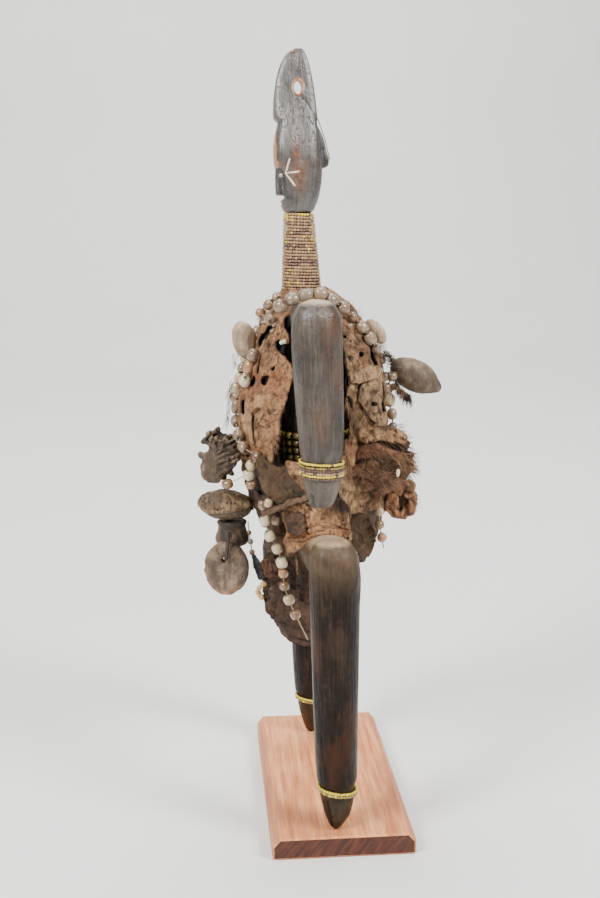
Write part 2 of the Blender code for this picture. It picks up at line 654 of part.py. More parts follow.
def wrap_keep_out():
    """The wrapped body's own outline a gap larger, taken from every charm that rests on the hides."""
    rings = []
    for height in (140.0, *[row[0] for row in WRAP[1:]]):
        rings.append([on_wrap(360 * (step + 0.5) / 24, height, GAP * 2) for step in range(24)])
    return loft("wrap_keep_out", rings, HIDE, CUTTERS)


def turned(name, profile, centre, material, sides, axis):
    """A turned charm: its profile of radius and length, in the tables' millimetres, revolved about its own axis."""
    across, along, length = axis
    rings = []
    for radius, offset in profile:
        middle = place(*centre) + length * offset * MM
        rings.append(rounded_ring(middle, across, along, radius * MM, radius * MM, radius * MM, 2, sides))
    return loft(name, rings, material)


def charms():
    keep_out = wrap_keep_out()
    x_axis, y_axis, z_axis = Vector((1, 0, 0)), Vector((0, 1, 0)), Vector((0, 0, 1))
    resting = [
        pebble("seed_front_upper", (6.0, -54.2, 299.9), (7.5, 8.2, 13.2), SEED_SKIN, (12, 0, 0), 1.0, 0.0003),
        pebble("seed_back_upper", (6.0, 29.5, 304.0), (6.0, 5.5, 10.0), SEED_SKIN, (38, 0, 0), 2.0, 0.0003),
        pebble("pod_back", (4.0, 56.0, 274.5), (9.0, 19.5, 10.8), SEED_SKIN, (152, 0, 0), 3.0, 0.0006, 2, 0.35),
        pebble("root_charm", (12.0, -71.0, 226.0), (11.0, 12.5, 17.5), POD_SKIN, (-24, 0, 0), 4.0, 0.0045),
        pebble("pod_front", (5.0, -68.7, 193.4), (11.0, 19.0, 10.6), POD_SKIN, (-8, 0, 0), 5.0, 0.0010, 2, 0.30),
        pebble("fur_bundle", (35.0, 28.0, 226.0), (13.5, 23.5, 21.0), HIDE, (0, 0, 0), 6.0, 0.0030),
    ]
    spool = ((8.5, -9.2), (11.0, -7.5), (11.6, -4.0), (9.6, 0.0), (9.0, 2.8), (9.6, 4.6))
    resting.append(turned("spool_front", spool, (3.0, -64.1, 175.2), POD_SKIN, 10, (x_axis, y_axis, z_axis)))
    disc = ((12.6, -5.0), (17.6, -3.0), (18.6, 0.0), (17.6, 3.0), (12.6, 5.0))
    seed = turned("disc_seed", disc, (20.0, -68.6, 154.9), SEED_SKIN, 16, (y_axis * 0.81, z_axis, x_axis))
    for piece in resting:
        boolean(piece, keep_out, "DIFFERENCE")
    hole = [rounded_ring(place(out, -69.8, 161.6), y_axis, z_axis, 0.0013, 0.0013, 0.0013, 2, 6)
            for out in (10.0, 30.0)]
    boolean(seed, loft("disc_hole", hole, SEED_SKIN, CUTTERS), "DIFFERENCE")
    for word, start, end in (("upper", (22.5, -48.6, 140.5), (22.5, -44.4, 145.5)),
                             ("lower", (19.0, -49.4, 139.0), (19.0, -45.6, 133.0))):
        tube(f"bone_{word}", [place(*start), place(*start).lerp(place(*end), 0.5), place(*end)],
             [0.0017, 0.0011, 0.0019], BONE)
    curl_points = [place(22.0 + out, 43.8 + 6.3 * math.cos(turn), 195.2 + 7.6 * math.sin(turn))
                   for turn, out in ((math.radians(130 + 28 * step), step * 0.1) for step in range(12))]
    tube("hide_curl", curl_points, [0.0041 + 0.0005 * math.sin(step) for step in range(12)], HIDE)
    twist = [on_wrap(angle, height, 0.0028) for angle, height in ((50, 193.0), (58, 195.5), (68, 199.5), (78, 201.5))]
    tube("hide_twist", twist, [0.0014, 0.0022, 0.0020, 0.0012], HIDE)


def figure_extras():
    leg_wrap()
    hanging_slab("hide_tatter", ((16, -44, 122), (16, -25, 126), (18, -24, 178), (18, -45, 178)),
                 HIDE_THICKNESS, 3, 5, 21.0, DARK_HIDE)
    hanging_slab("hide_strap", ((42.0, -39.5, 204.5), (44.5, -27, 204.5), (46.5, -26, 222), (44.0, -37.5, 222)),
                 HIDE_THICKNESS * 0.6, 3, 3, 25.0, HIDE)
    for side, word in ((1, "left"), (-1, "right")):
        inlays(side, word)
    crest = smooth_route([place(*spot) for spot in CREST_THREAD], CREST_THREAD_SPACING)
    tube("crest_thread", crest, [CREST_THREAD_RADIUS] * len(crest), CORD, 0)
    cord = [(27.0, -69.0, 160.0), (26.8, -68.4, 165.0), (25.8, -67.6, 171.0), (24.0, -67.0, 175.6),
            (18.2, -66.4, 177.4)]
    tube("disc_cord", [place(*spot) for spot in cord], [DISC_THREAD_RADIUS] * len(cord), CORD, 1)


def leg_wrap():
    """A leather sleeve on the far thigh, wide above and bound tight below."""
    x = FIGURE_X - LEG_SPREAD
    rings = []
    for height, front, back, half in ((71.0, -21.5, 12.4, 16.4), (74.0, -25.4, 13.0, 17.0), (89.0, -34.5, 13.6, 18.2),
                                      (96.0, -39.0, 13.8, 18.8), (113.0, -40.7, 14.2, 19.4),
                                      (141.0, -40.0, 14.6, 19.6), (153.5, -37.0, 14.8, 19.6)):
        middle = Vector((x, (front + back) / 2 * MM + FAR_LEG_SHIFT / 2, level(height)))
        depth = (back - front) / 2 * MM
        rings.append(rounded_ring(middle, Vector((1, 0, 0)), Vector((0, -1, 0)), depth, depth, half * MM, 2, 14))
    sleeve = loft("leg_wrap", rings, DARK_HIDE)
    boolean(sleeve, limb("leg_wrap_bore", LEG, x, FAR_LEG_SHIFT, GAP), "DIFFERENCE")
    hollow = []
    for height, front, back, half in ((84.0, -24.0, 10.6, 15.6), (97.0, -36.4, 11.6, 16.8), (113.0, -38.4, 12.0, 17.2),
                                      (141.0, -37.6, 12.4, 17.4), (156.0, -34.5, 12.6, 17.4)):
        middle = Vector((x, (front + back) / 2 * MM + FAR_LEG_SHIFT / 2, level(height)))
        depth = (back - front) / 2 * MM
        hollow.append(rounded_ring(middle, Vector((1, 0, 0)), Vector((0, -1, 0)), depth, depth, half * MM, 2, 14))
    boolean(sleeve, loft("leg_wrap_hollow", hollow, DARK_HIDE, CUTTERS), "DIFFERENCE")


def head_side(y, height):
    """How far out the head's side is at this depth and height, in millimetres."""
    front, back, half = look_up(HEAD, height)
    middle, depth = (front + back) / 2, (back - front) / 2
    share = min(abs(y - middle) / depth, 0.98)
    return half * (1 - share ** HEAD_SQUARENESS) ** (1 / HEAD_SQUARENESS)


def inlays(side, word):
    """The eye's stud and the three strips on the cheek, laid just clear of the wood."""
    junction, ends = (-27.7, 402.5), ((-25.2, 411.1), (-19.1, 403.4), (-21.9, 394.7))
    thin = 0.45
    stations = []
    for end in ends:
        for share in (1.0, 0.5, 0.0):
            y, height = (a + (b - a) * share for a, b in zip(junction, end))
            stations.append((side * (head_side(y, height) + GAP * 1000 + thin + 0.35), y, height))
    route = [stations[0], stations[1], stations[2], stations[4], stations[3]]
    tube(f"cheek_inlay_{word}", [place(*spot) for spot in route], [thin * 0.001] * len(route), INLAY, 0)
    lower = [stations[8], stations[7], stations[6]]
    lower[0] = tuple(a + (b - a) * 0.22 for a, b in zip(stations[8], stations[7]))
    tube(f"cheek_inlay_lower_{word}", [place(*spot) for spot in lower], [thin * 0.001] * 3, INLAY, 0)
    y, height = -30.4, 401.3
    out = head_side(y, height) + 0.9
    tube(f"eye_{word}", [place(side * (out + step), y - step * 0.4, height) for step in (0.0, 0.5, 1.0)],
         [0.0009, 0.0010, 0.0006], INLAY)


base_plate()
figure()
bead_bands()
hides()
strands()
charms()
figure_extras()
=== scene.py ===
"""The namji doll's looks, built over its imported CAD.

Metres, +Z up; the doll faces -Y and its left side is +X. Tables of the carving are in millimetres, as in the
part's own source: out from the figure's middle, across (Y) and height over the feet.
"""

import math
import random

import bmesh
import bpy
import numpy as np
from mathutils import Matrix, Vector, noise
from mathutils.bvhtree import BVHTree


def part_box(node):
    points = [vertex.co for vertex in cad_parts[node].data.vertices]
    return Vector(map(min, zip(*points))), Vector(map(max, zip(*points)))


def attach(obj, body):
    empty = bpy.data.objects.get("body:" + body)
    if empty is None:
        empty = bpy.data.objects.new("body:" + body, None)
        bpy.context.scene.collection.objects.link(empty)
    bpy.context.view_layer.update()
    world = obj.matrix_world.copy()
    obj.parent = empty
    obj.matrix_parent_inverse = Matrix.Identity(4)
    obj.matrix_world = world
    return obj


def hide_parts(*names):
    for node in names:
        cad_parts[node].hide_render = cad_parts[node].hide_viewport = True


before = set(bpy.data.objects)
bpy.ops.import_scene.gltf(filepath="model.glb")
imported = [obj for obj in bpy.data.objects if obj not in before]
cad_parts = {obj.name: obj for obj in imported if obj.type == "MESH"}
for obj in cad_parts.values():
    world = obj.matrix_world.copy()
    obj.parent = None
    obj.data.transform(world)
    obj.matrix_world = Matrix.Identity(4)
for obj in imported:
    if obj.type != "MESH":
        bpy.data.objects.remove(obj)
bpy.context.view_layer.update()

MM = 0.001
X_AXIS, Y_AXIS, Z_AXIS = Vector((1, 0, 0)), Vector((0, 1, 0)), Vector((0, 0, 1))
FOOT_LEVEL = 0.0143
FIGURE_X = 0.010
ARM_SPREAD = 0.0730
LEG_SPREAD = 0.0746
FAR_LEG_SHIFT = -0.0020

# Camera, solved from the plate's edges in the picture
CAMERA_SPOT = Vector((0.805, -0.0828, 0.3965))
CAMERA_PITCH, CAMERA_ROLL, CAMERA_YAW = math.radians(10.96), math.radians(-0.47), math.radians(4.59)
PICTURE_WIDTH, PICTURE_HEIGHT = 600, 898
FOCAL_PIXELS = 1250.0
SENSOR = 36.0


def camera_axes():
    level_ahead = Vector((-math.cos(CAMERA_YAW), math.sin(CAMERA_YAW), 0))
    right = level_ahead.cross(Z_AXIS)
    ahead = level_ahead * math.cos(CAMERA_PITCH) - Z_AXIS * math.sin(CAMERA_PITCH)
    up = Z_AXIS * math.cos(CAMERA_PITCH) + level_ahead * math.sin(CAMERA_PITCH)
    turned_right = right * math.cos(CAMERA_ROLL) + up * math.sin(CAMERA_ROLL)
    turned_up = up * math.cos(CAMERA_ROLL) - right * math.sin(CAMERA_ROLL)
    return turned_right, turned_up, ahead


RIGHT, UP, AHEAD = camera_axes()


def sight(px, py):
    """The direction of a picture point from the camera."""
    aim = AHEAD * FOCAL_PIXELS + RIGHT * (px - PICTURE_WIDTH / 2) - UP * (py - PICTURE_HEIGHT / 2)
    return aim.normalized()


def seen(px, py, x):
    """The world point that a picture point shows on the upright plane at this X."""
    ray = sight(px, py)
    return CAMERA_SPOT + ray * ((x - CAMERA_SPOT.x) / ray.x)


def pixel_of(point):
    offset = point - CAMERA_SPOT
    depth = offset.dot(AHEAD)
    return (PICTURE_WIDTH / 2 + offset.dot(RIGHT) / depth * FOCAL_PIXELS,
            PICTURE_HEIGHT / 2 - offset.dot(UP) / depth * FOCAL_PIXELS)


def add_camera():
    data = bpy.data.cameras.new("camera")
    data.sensor_width = SENSOR
    data.lens = FOCAL_PIXELS * SENSOR / PICTURE_HEIGHT
    camera = bpy.data.objects.new("camera", data)
    bpy.context.scene.collection.objects.link(camera)
    turn = Matrix((RIGHT, UP, -AHEAD)).transposed()
    camera.matrix_world = Matrix.Translation(CAMERA_SPOT) @ turn.to_4x4()
    bpy.context.scene.camera = camera


def level(height):
    return FOOT_LEVEL + height * MM


def place(x, y, height):
    return Vector((FIGURE_X + x * MM, y * MM, level(height)))


# Materials


class Recipe:
    """A Principled material built from small node steps in the object's own coordinates, which are the world's."""

    def __init__(self, name, roughness=0.6, coat=0.0, ior=1.5):
        self.material = bpy.data.materials.new(name)
        self.material.use_nodes = True
        self.tree = self.material.node_tree
        self.shader = self.tree.nodes["Principled BSDF"]
        for word, value in (("Coat Weight", coat), ("IOR", ior), ("Roughness", roughness)):
            self.shader.inputs[word].default_value = value
        self.where = self.make("ShaderNodeTexCoord").outputs["Object"]

    def make(self, kind, **settings):
        made = self.tree.nodes.new(kind)
        for key, value in settings.items():
            setattr(made, key, value)
        return made

    def feed(self, socket, value):
        if isinstance(value, bpy.types.NodeSocket):
            self.tree.links.new(value, socket)
        elif isinstance(value, tuple) and len(value) == 3 and len(socket.default_value) == 4:
            socket.default_value = (*value, 1.0)
        else:
            socket.default_value = value

    def stretched(self, x, y, z, place=None):
        """Coordinates scaled along each axis, so that a small number draws the pattern out."""
        made = self.make("ShaderNodeVectorMath", operation="MULTIPLY")
        self.feed(made.inputs[0], place or self.where)
        made.inputs[1].default_value = (x, y, z)
        return made.outputs[0]

    def turned(self, axis, degrees):
        made = self.make("ShaderNodeVectorRotate", rotation_type="AXIS_ANGLE")
        self.feed(made.inputs["Vector"], self.where)
        made.inputs["Axis"].default_value = axis
        made.inputs["Angle"].default_value = math.radians(degrees)
        return made.outputs[0]

    def noise(self, scale, detail=4.0, rough=0.6, place=None, twist=0.0):
        made = self.make("ShaderNodeTexNoise")
        self.feed(made.inputs["Vector"], place or self.where)
        made.inputs["Scale"].default_value = scale
        made.inputs["Detail"].default_value = detail
        made.inputs["Roughness"].default_value = rough
        made.inputs["Distortion"].default_value = twist
        return made.outputs[0]

    def cells(self, scale, feature="F1", place=None):
        made = self.make("ShaderNodeTexVoronoi", feature=feature)
        self.feed(made.inputs["Vector"], place or self.where)
        made.inputs["Scale"].default_value = scale
        return made.outputs["Distance"]

    def ramp(self, factor, *stops):
        made = self.make("ShaderNodeValToRGB")
        self.feed(made.inputs[0], factor)
        elements = made.color_ramp.elements
        while len(elements) < len(stops):
            elements.new(0.5)
        for element, (position, colour) in zip(elements, stops):
            element.position = position
            element.color = (*colour, 1.0)
        return made.outputs[0]

    def span(self, value, low, high, to_low=0.0, to_high=1.0):
        """The value's place between low and high, as a number from to_low to to_high."""
        made = self.make("ShaderNodeMapRange")
        for socket, number in zip(made.inputs, (value, low, high, to_low, to_high)):
            self.feed(socket, number)
        return made.outputs[0]

    def blend(self, factor, first, second):
        made = self.make("ShaderNodeMix", data_type="RGBA")
        self.feed(made.inputs[0], factor)
        self.feed(made.inputs[6], first)
        self.feed(made.inputs[7], second)
        return made.outputs[2]

    def sums(self, kind, first, second=0.0):
        made = self.make("ShaderNodeMath", operation=kind, use_clamp=kind == "MULTIPLY")
        self.feed(made.inputs[0], first)
        self.feed(made.inputs[1], second)
        return made.outputs[0]

    def times(self, first, second):
        return self.sums("MULTIPLY", first, second)

    def plus(self, first, second):
        return self.sums("ADD", first, second)

    def size_of(self, value):
        return self.sums("ABSOLUTE", value)

    def value_of(self, name):
        return self.make("ShaderNodeAttribute", attribute_name=name).outputs["Fac"]

    def colour_of(self, name):
        return self.make("ShaderNodeAttribute", attribute_name=name).outputs["Color"]

    def facing(self, axis):
        split = self.make("ShaderNodeSeparateXYZ")
        self.feed(split.inputs[0], self.make("ShaderNodeNewGeometry").outputs["Normal"])
        return split.outputs[axis]

    def finish(self, colour, roughness=None, heights=()):
        """Feeds the shader, with a bump for each pair of a height and its distance in metres."""
        self.feed(self.shader.inputs["Base Color"], colour)
        if roughness is not None:
            self.feed(self.shader.inputs["Roughness"], roughness)
        normal = None
        for height, distance in heights:
            bump = self.make("ShaderNodeBump")
            bump.inputs["Strength"].default_value = 1.0
            bump.inputs["Distance"].default_value = distance
            self.feed(bump.inputs["Height"], height)
            if normal is not None:
                self.feed(bump.inputs["Normal"], normal)
            normal = bump.outputs[0]
        if normal is not None:
            self.feed(self.shader.inputs["Normal"], normal)
        return self.material


def carved_wood(name, dark, middle, light, red, dust, dust_from, roughness, shine):
    """Old handled wood: grain that runs up the carving, pale checks, reddish rubbed spots and dust on top."""
    made = Recipe(name, ior=1.48)
    made.shader.inputs["Specular IOR Level"].default_value = shine
    grain_place = made.stretched(1.0, 1.0, 0.055)
    grain = made.noise(760, 5, 0.62, grain_place, 0.25)
    broad = made.noise(58, 5, 0.62, made.stretched(1.0, 1.0, 0.45), 0.4)
    mottled = made.noise(210, 4, 0.66)
    mixed = made.plus(made.times(grain, 0.36), made.times(broad, 0.40))
    mixed = made.plus(mixed, made.times(mottled, 0.24))
    colour = made.ramp(mixed, (0.39, dark), (0.5, middle), (0.61, light))
    colour = made.blend(made.span(mottled, 0.52, 0.72, 0.0, 0.35), colour, dark)
    reddish = made.noise(62, 3, 0.55, made.stretched(1.0, 1.0, 0.3, made.turned((0, 0, 1), 40)))
    colour = made.blend(made.span(reddish, 0.54, 0.68, 0.0, 0.75), colour, red)
    check_noise = made.noise(150, 2, 0.5, made.stretched(1.0, 1.0, 0.045), 0.4)
    check = made.span(made.size_of(made.plus(check_noise, -0.5)), 0.0, 0.012, 1.0, 0.0)
    check = made.times(check, made.span(made.noise(38, 2), 0.48, 0.6))
    colour = made.blend(made.times(check, 0.75), colour, light)
    worn = made.value_of("worn")
    speckle = made.noise(340, 3)
    dark_rub = made.ramp(speckle, (0.38, (0.060, 0.018, 0.008)), (0.62, (0.185, 0.066, 0.028)))
    bare_rub = made.ramp(made.noise(500, 3), (0.35, (0.30, 0.105, 0.040)), (0.65, (0.58, 0.30, 0.13)))
    rubbed = made.times(made.span(worn, 0.05, 0.6), made.span(speckle, 0.3, 0.6, 0.6, 1.0))
    colour = made.blend(rubbed, colour, dark_rub)
    rubbed = made.times(made.span(worn, 0.68, 0.95), made.span(speckle, 0.25, 0.6, 0.6, 1.0))
    colour = made.blend(rubbed, colour, bare_rub)
    # The pale attribute: dust, and on the head also a painted highlight along the crest's front and back edges.
    dust_and_highlight = made.times(made.value_of("pale"), made.span(made.noise(120, 4), 0.3, 0.7, 0.45, 1.0))
    colour = made.blend(dust_and_highlight, colour, dust)
    top = made.span(made.facing(2), dust_from, min(dust_from + 0.28, 0.99))
    top = made.times(top, made.span(made.noise(75, 4), 0.3, 0.55, 0.5, 0.95))
    colour = made.blend(top, colour, dust)
    # Painted shade, from the shade attribute.
    colour = made.blend(made.value_of("shade"), colour, (0.012, 0.009, 0.007))
    rough = made.span(made.noise(130, 4), 0.3, 0.7, roughness - 0.07, roughness + 0.12)
    rough = made.plus(rough, made.times(top, 0.3))
    return made.finish(colour, rough, ((grain, 0.0004), (check, -0.0004), (made.noise(900, 3), 0.00016)))


def plate_wood():
    """Oiled planed wood with its grain along X, paler worn places, a dark end grain and painted shade on its long
    sides.
    """
    made = Recipe("plate_wood", ior=1.46)
    along = made.stretched(0.05, 1.0, 1.0)
    grain = made.noise(330, 6, 0.62, along, 0.3)
    pores = made.noise(1500, 2, 0.5, made.stretched(0.035, 1.0, 1.0))
    blotch = made.noise(21, 4, 0.55, made.stretched(0.55, 1.0, 1.0), 0.5)
    colour = made.ramp(grain, (0.33, (0.43, 0.135, 0.044)), (0.52, (0.66, 0.245, 0.088)),
                       (0.7, (0.83, 0.390, 0.160)))
    colour = made.blend(made.span(blotch, 0.5, 0.68, 0.0, 0.62), colour, (0.36, 0.115, 0.052))
    colour = made.blend(made.span(blotch, 0.46, 0.3, 0.0, 0.5), colour, (0.86, 0.47, 0.22))
    colour = made.blend(made.span(pores, 0.6, 0.72, 0.0, 0.4), colour, (0.26, 0.10, 0.06))
    end_grain = made.noise(420, 5, 0.65, made.stretched(0.3, 1.0, 0.12, made.turned((1, 0, 0), 38)), 0.2)
    end_colour = made.ramp(end_grain, (0.36, (0.030, 0.006, 0.002)), (0.52, (0.066, 0.015, 0.0045)),
                           (0.68, (0.120, 0.034, 0.011)))
    colour = made.blend(made.span(made.size_of(made.facing(0)), 0.75, 0.9), colour, end_colour)
    # Painted shade: the long sides that face along Y are made darker.
    side = made.span(made.size_of(made.facing(1)), 0.35, 0.6, 0.0, 0.45)
    colour = made.blend(side, colour, (0.36, 0.15, 0.085))
    rough = made.span(grain, 0.3, 0.7, 0.62, 0.48)
    return made.finish(colour, rough, ((grain, 0.0004), (pores, -0.0002), (end_grain, 0.0002)))


def bead_glass(name, roughness, mottle, coat):
    """Glass and stone beads: each bead's own tint, with soft clouds, specks of dirt and slight pits."""
    made = Recipe(name, coat=coat)
    made.shader.inputs["Coat Roughness"].default_value = 0.12
    clouds = made.noise(420, 4, 0.6)
    colour = made.blend(made.span(clouds, 0.35, 0.7, 0.0, mottle), made.colour_of("tint"), (0.16, 0.085, 0.045))
    dirt = made.noise(1300, 3, 0.6)
    colour = made.blend(made.span(dirt, 0.58, 0.7, 0.0, 0.55), colour, (0.09, 0.05, 0.03))
    colour = made.blend(made.value_of("shade"), colour, (0.035, 0.02, 0.012))
    rough = made.span(clouds, 0.3, 0.7, roughness - 0.06, roughness + 0.14)
    return made.finish(colour, rough, ((clouds, 0.00025), (dirt, -0.00008)))


def leather(name, dark, middle, light, scale=1.0, crust=1.0):
    """Dried, crumbling hide: tan high spots, painted shade in its hollows and cracks, a gritty, fibrous surface."""
    made = Recipe(name)
    broad = made.noise(52 * scale, 5, 0.62, None, 0.6)
    small = made.noise(330 * scale, 5, 0.68, made.stretched(1.0, 1.0, 0.6), 0.5)
    grit = made.noise(1500, 3, 0.7)
    mixed = made.plus(made.times(broad, 0.5), made.times(small, 0.5))
    colour = made.ramp(mixed, (0.37, dark), (0.485, middle), (0.58, light))
    warm = tuple(value * change for value, change in zip(middle, (1.25, 0.92, 0.8)))
    colour = made.blend(made.span(made.noise(34, 3), 0.45, 0.62, 0.0, 0.55), colour, warm)
    crack_cells = made.cells(150 * scale, "DISTANCE_TO_EDGE", made.stretched(1.0, 1.0, 0.7))
    crack = made.times(made.span(crack_cells, 0.0, 0.05, 1.0, 0.0),
                      made.span(made.noise(60, 2), 0.5, 0.62))
    # The cracks are darkened with painted shade.
    colour = made.blend(made.times(crack, 0.8), colour, dark)
    colour = made.blend(made.span(grit, 0.58, 0.74, 0.0, 0.6), colour, dark)
    colour = made.blend(made.span(grit, 0.42, 0.28, 0.0, 0.35), colour, light)
    crumb = made.noise(560 * scale, 4, 0.75, None, 0.4)
    colour = made.blend(made.span(crumb, 0.545, 0.64, 0.0, 0.72 * crust), colour, dark)
    # Painted shade, from the shade attribute.
    shade = made.span(made.value_of("shade"), 0.0, 1.0, 0.0, 0.96)
    colour = made.blend(shade, colour, (0.016, 0.009, 0.005))
    colour = made.blend(made.value_of("pale"), colour, light)
    heights = ((small, 0.0023 * crust), (crack, -0.0007 * crust), (crumb, -0.0009 * crust), (grit, 0.0007))
    return made.finish(colour, made.span(small, 0.3, 0.7, 0.72, 0.95), heights)


def seed_skin(name, dark, middle, light, ribs, pits):
    """The dry skin of a seed, pod or root; ribs closes its streaks up and pits is how deep its pits are and how
    much painted shade darkens them.
    """
    made = Recipe(name)
    ribbed = made.noise(520, 4, 0.6, made.stretched(1.0, ribs, 0.12))
    broad = made.noise(85, 4, 0.6)
    pitted = made.cells(420)
    mixed = made.plus(made.times(ribbed, 0.4), made.times(broad, 0.6))
    colour = made.ramp(mixed, (0.36, dark), (0.5, middle), (0.62, light))
    colour = made.blend(made.span(pitted, 0.28, 0.05, 0.0, pits), colour, dark)
    # Painted shade, from the shade attribute.
    colour = made.blend(made.value_of("shade"), colour, (0.018, 0.011, 0.007))
    colour = made.blend(made.value_of("worn"), colour, (0.36, 0.19, 0.105))
    heights = ((ribbed, 0.0006), (made.span(pitted, 0.0, 0.3), 0.0005 * pits), (made.noise(1700, 3, 0.6), 0.00018))
    return made.finish(colour, made.span(broad, 0.3, 0.7, 0.6, 0.82), heights)


def fibre(name):
    """Hair, thread and twisted cord, each strand with its own tint."""
    made = Recipe(name)
    strand = made.noise(900, 3, 0.6)
    colour = made.blend(made.span(strand, 0.4, 0.7, 0.0, 0.5), made.colour_of("tint"), (0.03, 0.018, 0.01))
    return made.finish(colour, 0.75, ((strand, 0.0002),))


def twine(name, base, dark):
    made = Recipe(name)
    twist = made.noise(1400, 3, 0.6, made.stretched(1.0, 1.0, 0.5))
    colour = made.blend(made.span(twist, 0.4, 0.65), base, dark)
    return made.finish(colour, 0.85, ((twist, 0.0003),))


def plain_bone(name, base, stain):
    made = Recipe(name, coat=0.1)
    cloud = made.noise(260, 4, 0.6)
    colour = made.blend(made.span(cloud, 0.4, 0.68, 0.0, 0.8), base, stain)
    colour = made.blend(made.value_of("shade"), colour, (0.05, 0.03, 0.015))
    return made.finish(colour, made.span(cloud, 0.3, 0.7, 0.35, 0.55), ((made.noise(1100, 4), 0.0003),))


# Each hide, wood and skin by its dark, middle and light colour
HEAD_WOOD = carved_wood("head_wood", (0.028, 0.024, 0.021), (0.070, 0.061, 0.054), (0.130, 0.116, 0.102),
                        (0.095, 0.038, 0.018), (0.30, 0.25, 0.20), 0.82, 0.27, 0.85)
ARM_WOOD = carved_wood("arm_wood", (0.020, 0.0150, 0.0122), (0.046, 0.036, 0.0285), (0.098, 0.078, 0.061),
                       (0.085, 0.035, 0.016), (0.44, 0.325, 0.205), 0.66, 0.30, 0.42)
LEG_WOOD = carved_wood("leg_wood", (0.0050, 0.0029, 0.0018), (0.0125, 0.0072, 0.0044), (0.036, 0.0225, 0.0140),
                       (0.042, 0.0135, 0.0058), (0.34, 0.240, 0.145), 0.62, 0.34, 0.12)
PLATE_WOOD = plate_wood()
SEED_GLASS = bead_glass("seed_glass", 0.34, 0.35, 0.25)
BEAD_GLASS = bead_glass("bead_glass", 0.22, 0.45, 0.6)
HIDE = leather("tan_hide", (0.038, 0.016, 0.007), (0.260, 0.122, 0.050), (0.56, 0.315, 0.148))
BACK_HIDE = leather("dusty_hide", (0.035, 0.017, 0.007), (0.245, 0.130, 0.058), (0.53, 0.325, 0.160))
SMOOTH_HIDE = leather("smooth_hide", (0.014, 0.007, 0.003), (0.055, 0.029, 0.012),
                      (0.115, 0.066, 0.029), 0.7, 0.5)
DARK_HIDE = leather("dark_hide", (0.010, 0.005, 0.003), (0.046, 0.023, 0.011),
                    (0.130, 0.070, 0.034), 0.8, 0.7)
RED_HIDE = leather("red_hide", (0.018, 0.008, 0.004), (0.085, 0.037, 0.017), (0.205, 0.102, 0.048))
# A near-black hide for the sheets that paint the shade inside the wrap, seen through its holes.
SHADOW_SHEET_HIDE = leather("hide_lining", (0.005, 0.003, 0.002), (0.014, 0.0075, 0.004), (0.042, 0.021, 0.010))
GREY_HIDE = leather("grey_hide", (0.010, 0.011, 0.014), (0.034, 0.038, 0.050),
                    (0.090, 0.100, 0.125), 0.8, 0.4)
CRUMPLED = leather("crumpled_hide", (0.026, 0.011, 0.005), (0.165, 0.076, 0.032), (0.36, 0.19, 0.088))
PALE_SEED = seed_skin("pale_seed", (0.14, 0.092, 0.052), (0.30, 0.213, 0.132),
                      (0.50, 0.375, 0.245), 1.0, 0.25)
BACK_POD = seed_skin("back_pod", (0.034, 0.020, 0.010), (0.086, 0.056, 0.032),
                     (0.190, 0.135, 0.082), 0.5, 0.45)
POD = seed_skin("pod_skin", (0.040, 0.021, 0.009), (0.138, 0.085, 0.040), (0.36, 0.245, 0.128), 1.0, 0.75)
SPOOL_SKIN = seed_skin("spool_skin", (0.011, 0.0065, 0.0032), (0.036, 0.023, 0.0125),
                       (0.100, 0.068, 0.040), 0.4, 0.4)
DISC = seed_skin("disc_skin", (0.034, 0.021, 0.013), (0.108, 0.070, 0.043),
                 (0.245, 0.168, 0.108), 0.6, 0.55)
ROOT = seed_skin("root_skin", (0.022, 0.012, 0.006), (0.076, 0.048, 0.026), (0.225, 0.155, 0.090), 0.5, 0.6)
FIBRE = fibre("hair_and_thread")
THREAD = twine("thread", (0.46, 0.34, 0.24), (0.14, 0.085, 0.05))
DARK_CORD = twine("dark_cord", (0.10, 0.066, 0.042), (0.022, 0.014, 0.009))
BONE = plain_bone("old_bone", (0.66, 0.46, 0.20), (0.33, 0.18, 0.06))
INLAY = plain_bone("inlay", (0.82, 0.73, 0.56), (0.52, 0.37, 0.22))

# Making pieces


class Heap:
    """Collects small shapes into one mesh, each point with its own tint and shade."""

    def __init__(self):
        self.points, self.faces, self.tints, self.shades = [], [], [], []

    def add(self, points, faces, tint=(0.5, 0.5, 0.5), shades=None):
        start = len(self.points)
        self.points.extend(points)
        self.faces.extend([tuple(start + corner for corner in face) for face in faces])
        self.tints.extend([(*tint, 1.0)] * len(points))
        self.shades.extend(shades if shades is not None else [0.0] * len(points))

    def rings(self, rows, tint=(0.5, 0.5, 0.5), shades=None):
        """A closed skin over equal rings, capped at both ends with a point."""
        count = len(rows[0])
        points = [point for row in rows for point in row]
        points.append(sum(rows[0], Vector()) / count)
        points.append(sum(rows[-1], Vector()) / count)
        first, last = len(points) - 2, len(points) - 1
        faces = []
        for row in range(len(rows) - 1):
            for step in range(count):
                after = (step + 1) % count
                faces.append((row * count + step, row * count + after,
                              (row + 1) * count + after, (row + 1) * count + step))
        top = (len(rows) - 1) * count
        for step in range(count):
            after = (step + 1) % count
            faces.append((after, step, first))
            faces.append((top + step, top + after, last))
        shade_list = None
        if shades is not None:
            shade_list = [value for value in shades for _ in range(count)] + [shades[0], shades[-1]]
        self.add(points, faces, tint, shade_list)

    def mesh(self, name):
        mesh = bpy.data.meshes.new(name)
        mesh.from_pydata([tuple(point) for point in self.points], [], self.faces)
        return mesh

    def piece(self, name, material, slot, nodes=()):
        mesh = self.mesh(name)
        tint = mesh.attributes.new("tint", "FLOAT_COLOR", "POINT")
        tint.data.foreach_set("color", np.array(self.tints, dtype=np.float32).ravel())
        give_values(mesh, "shade", self.shades)
        return show(name, mesh, material, nodes)


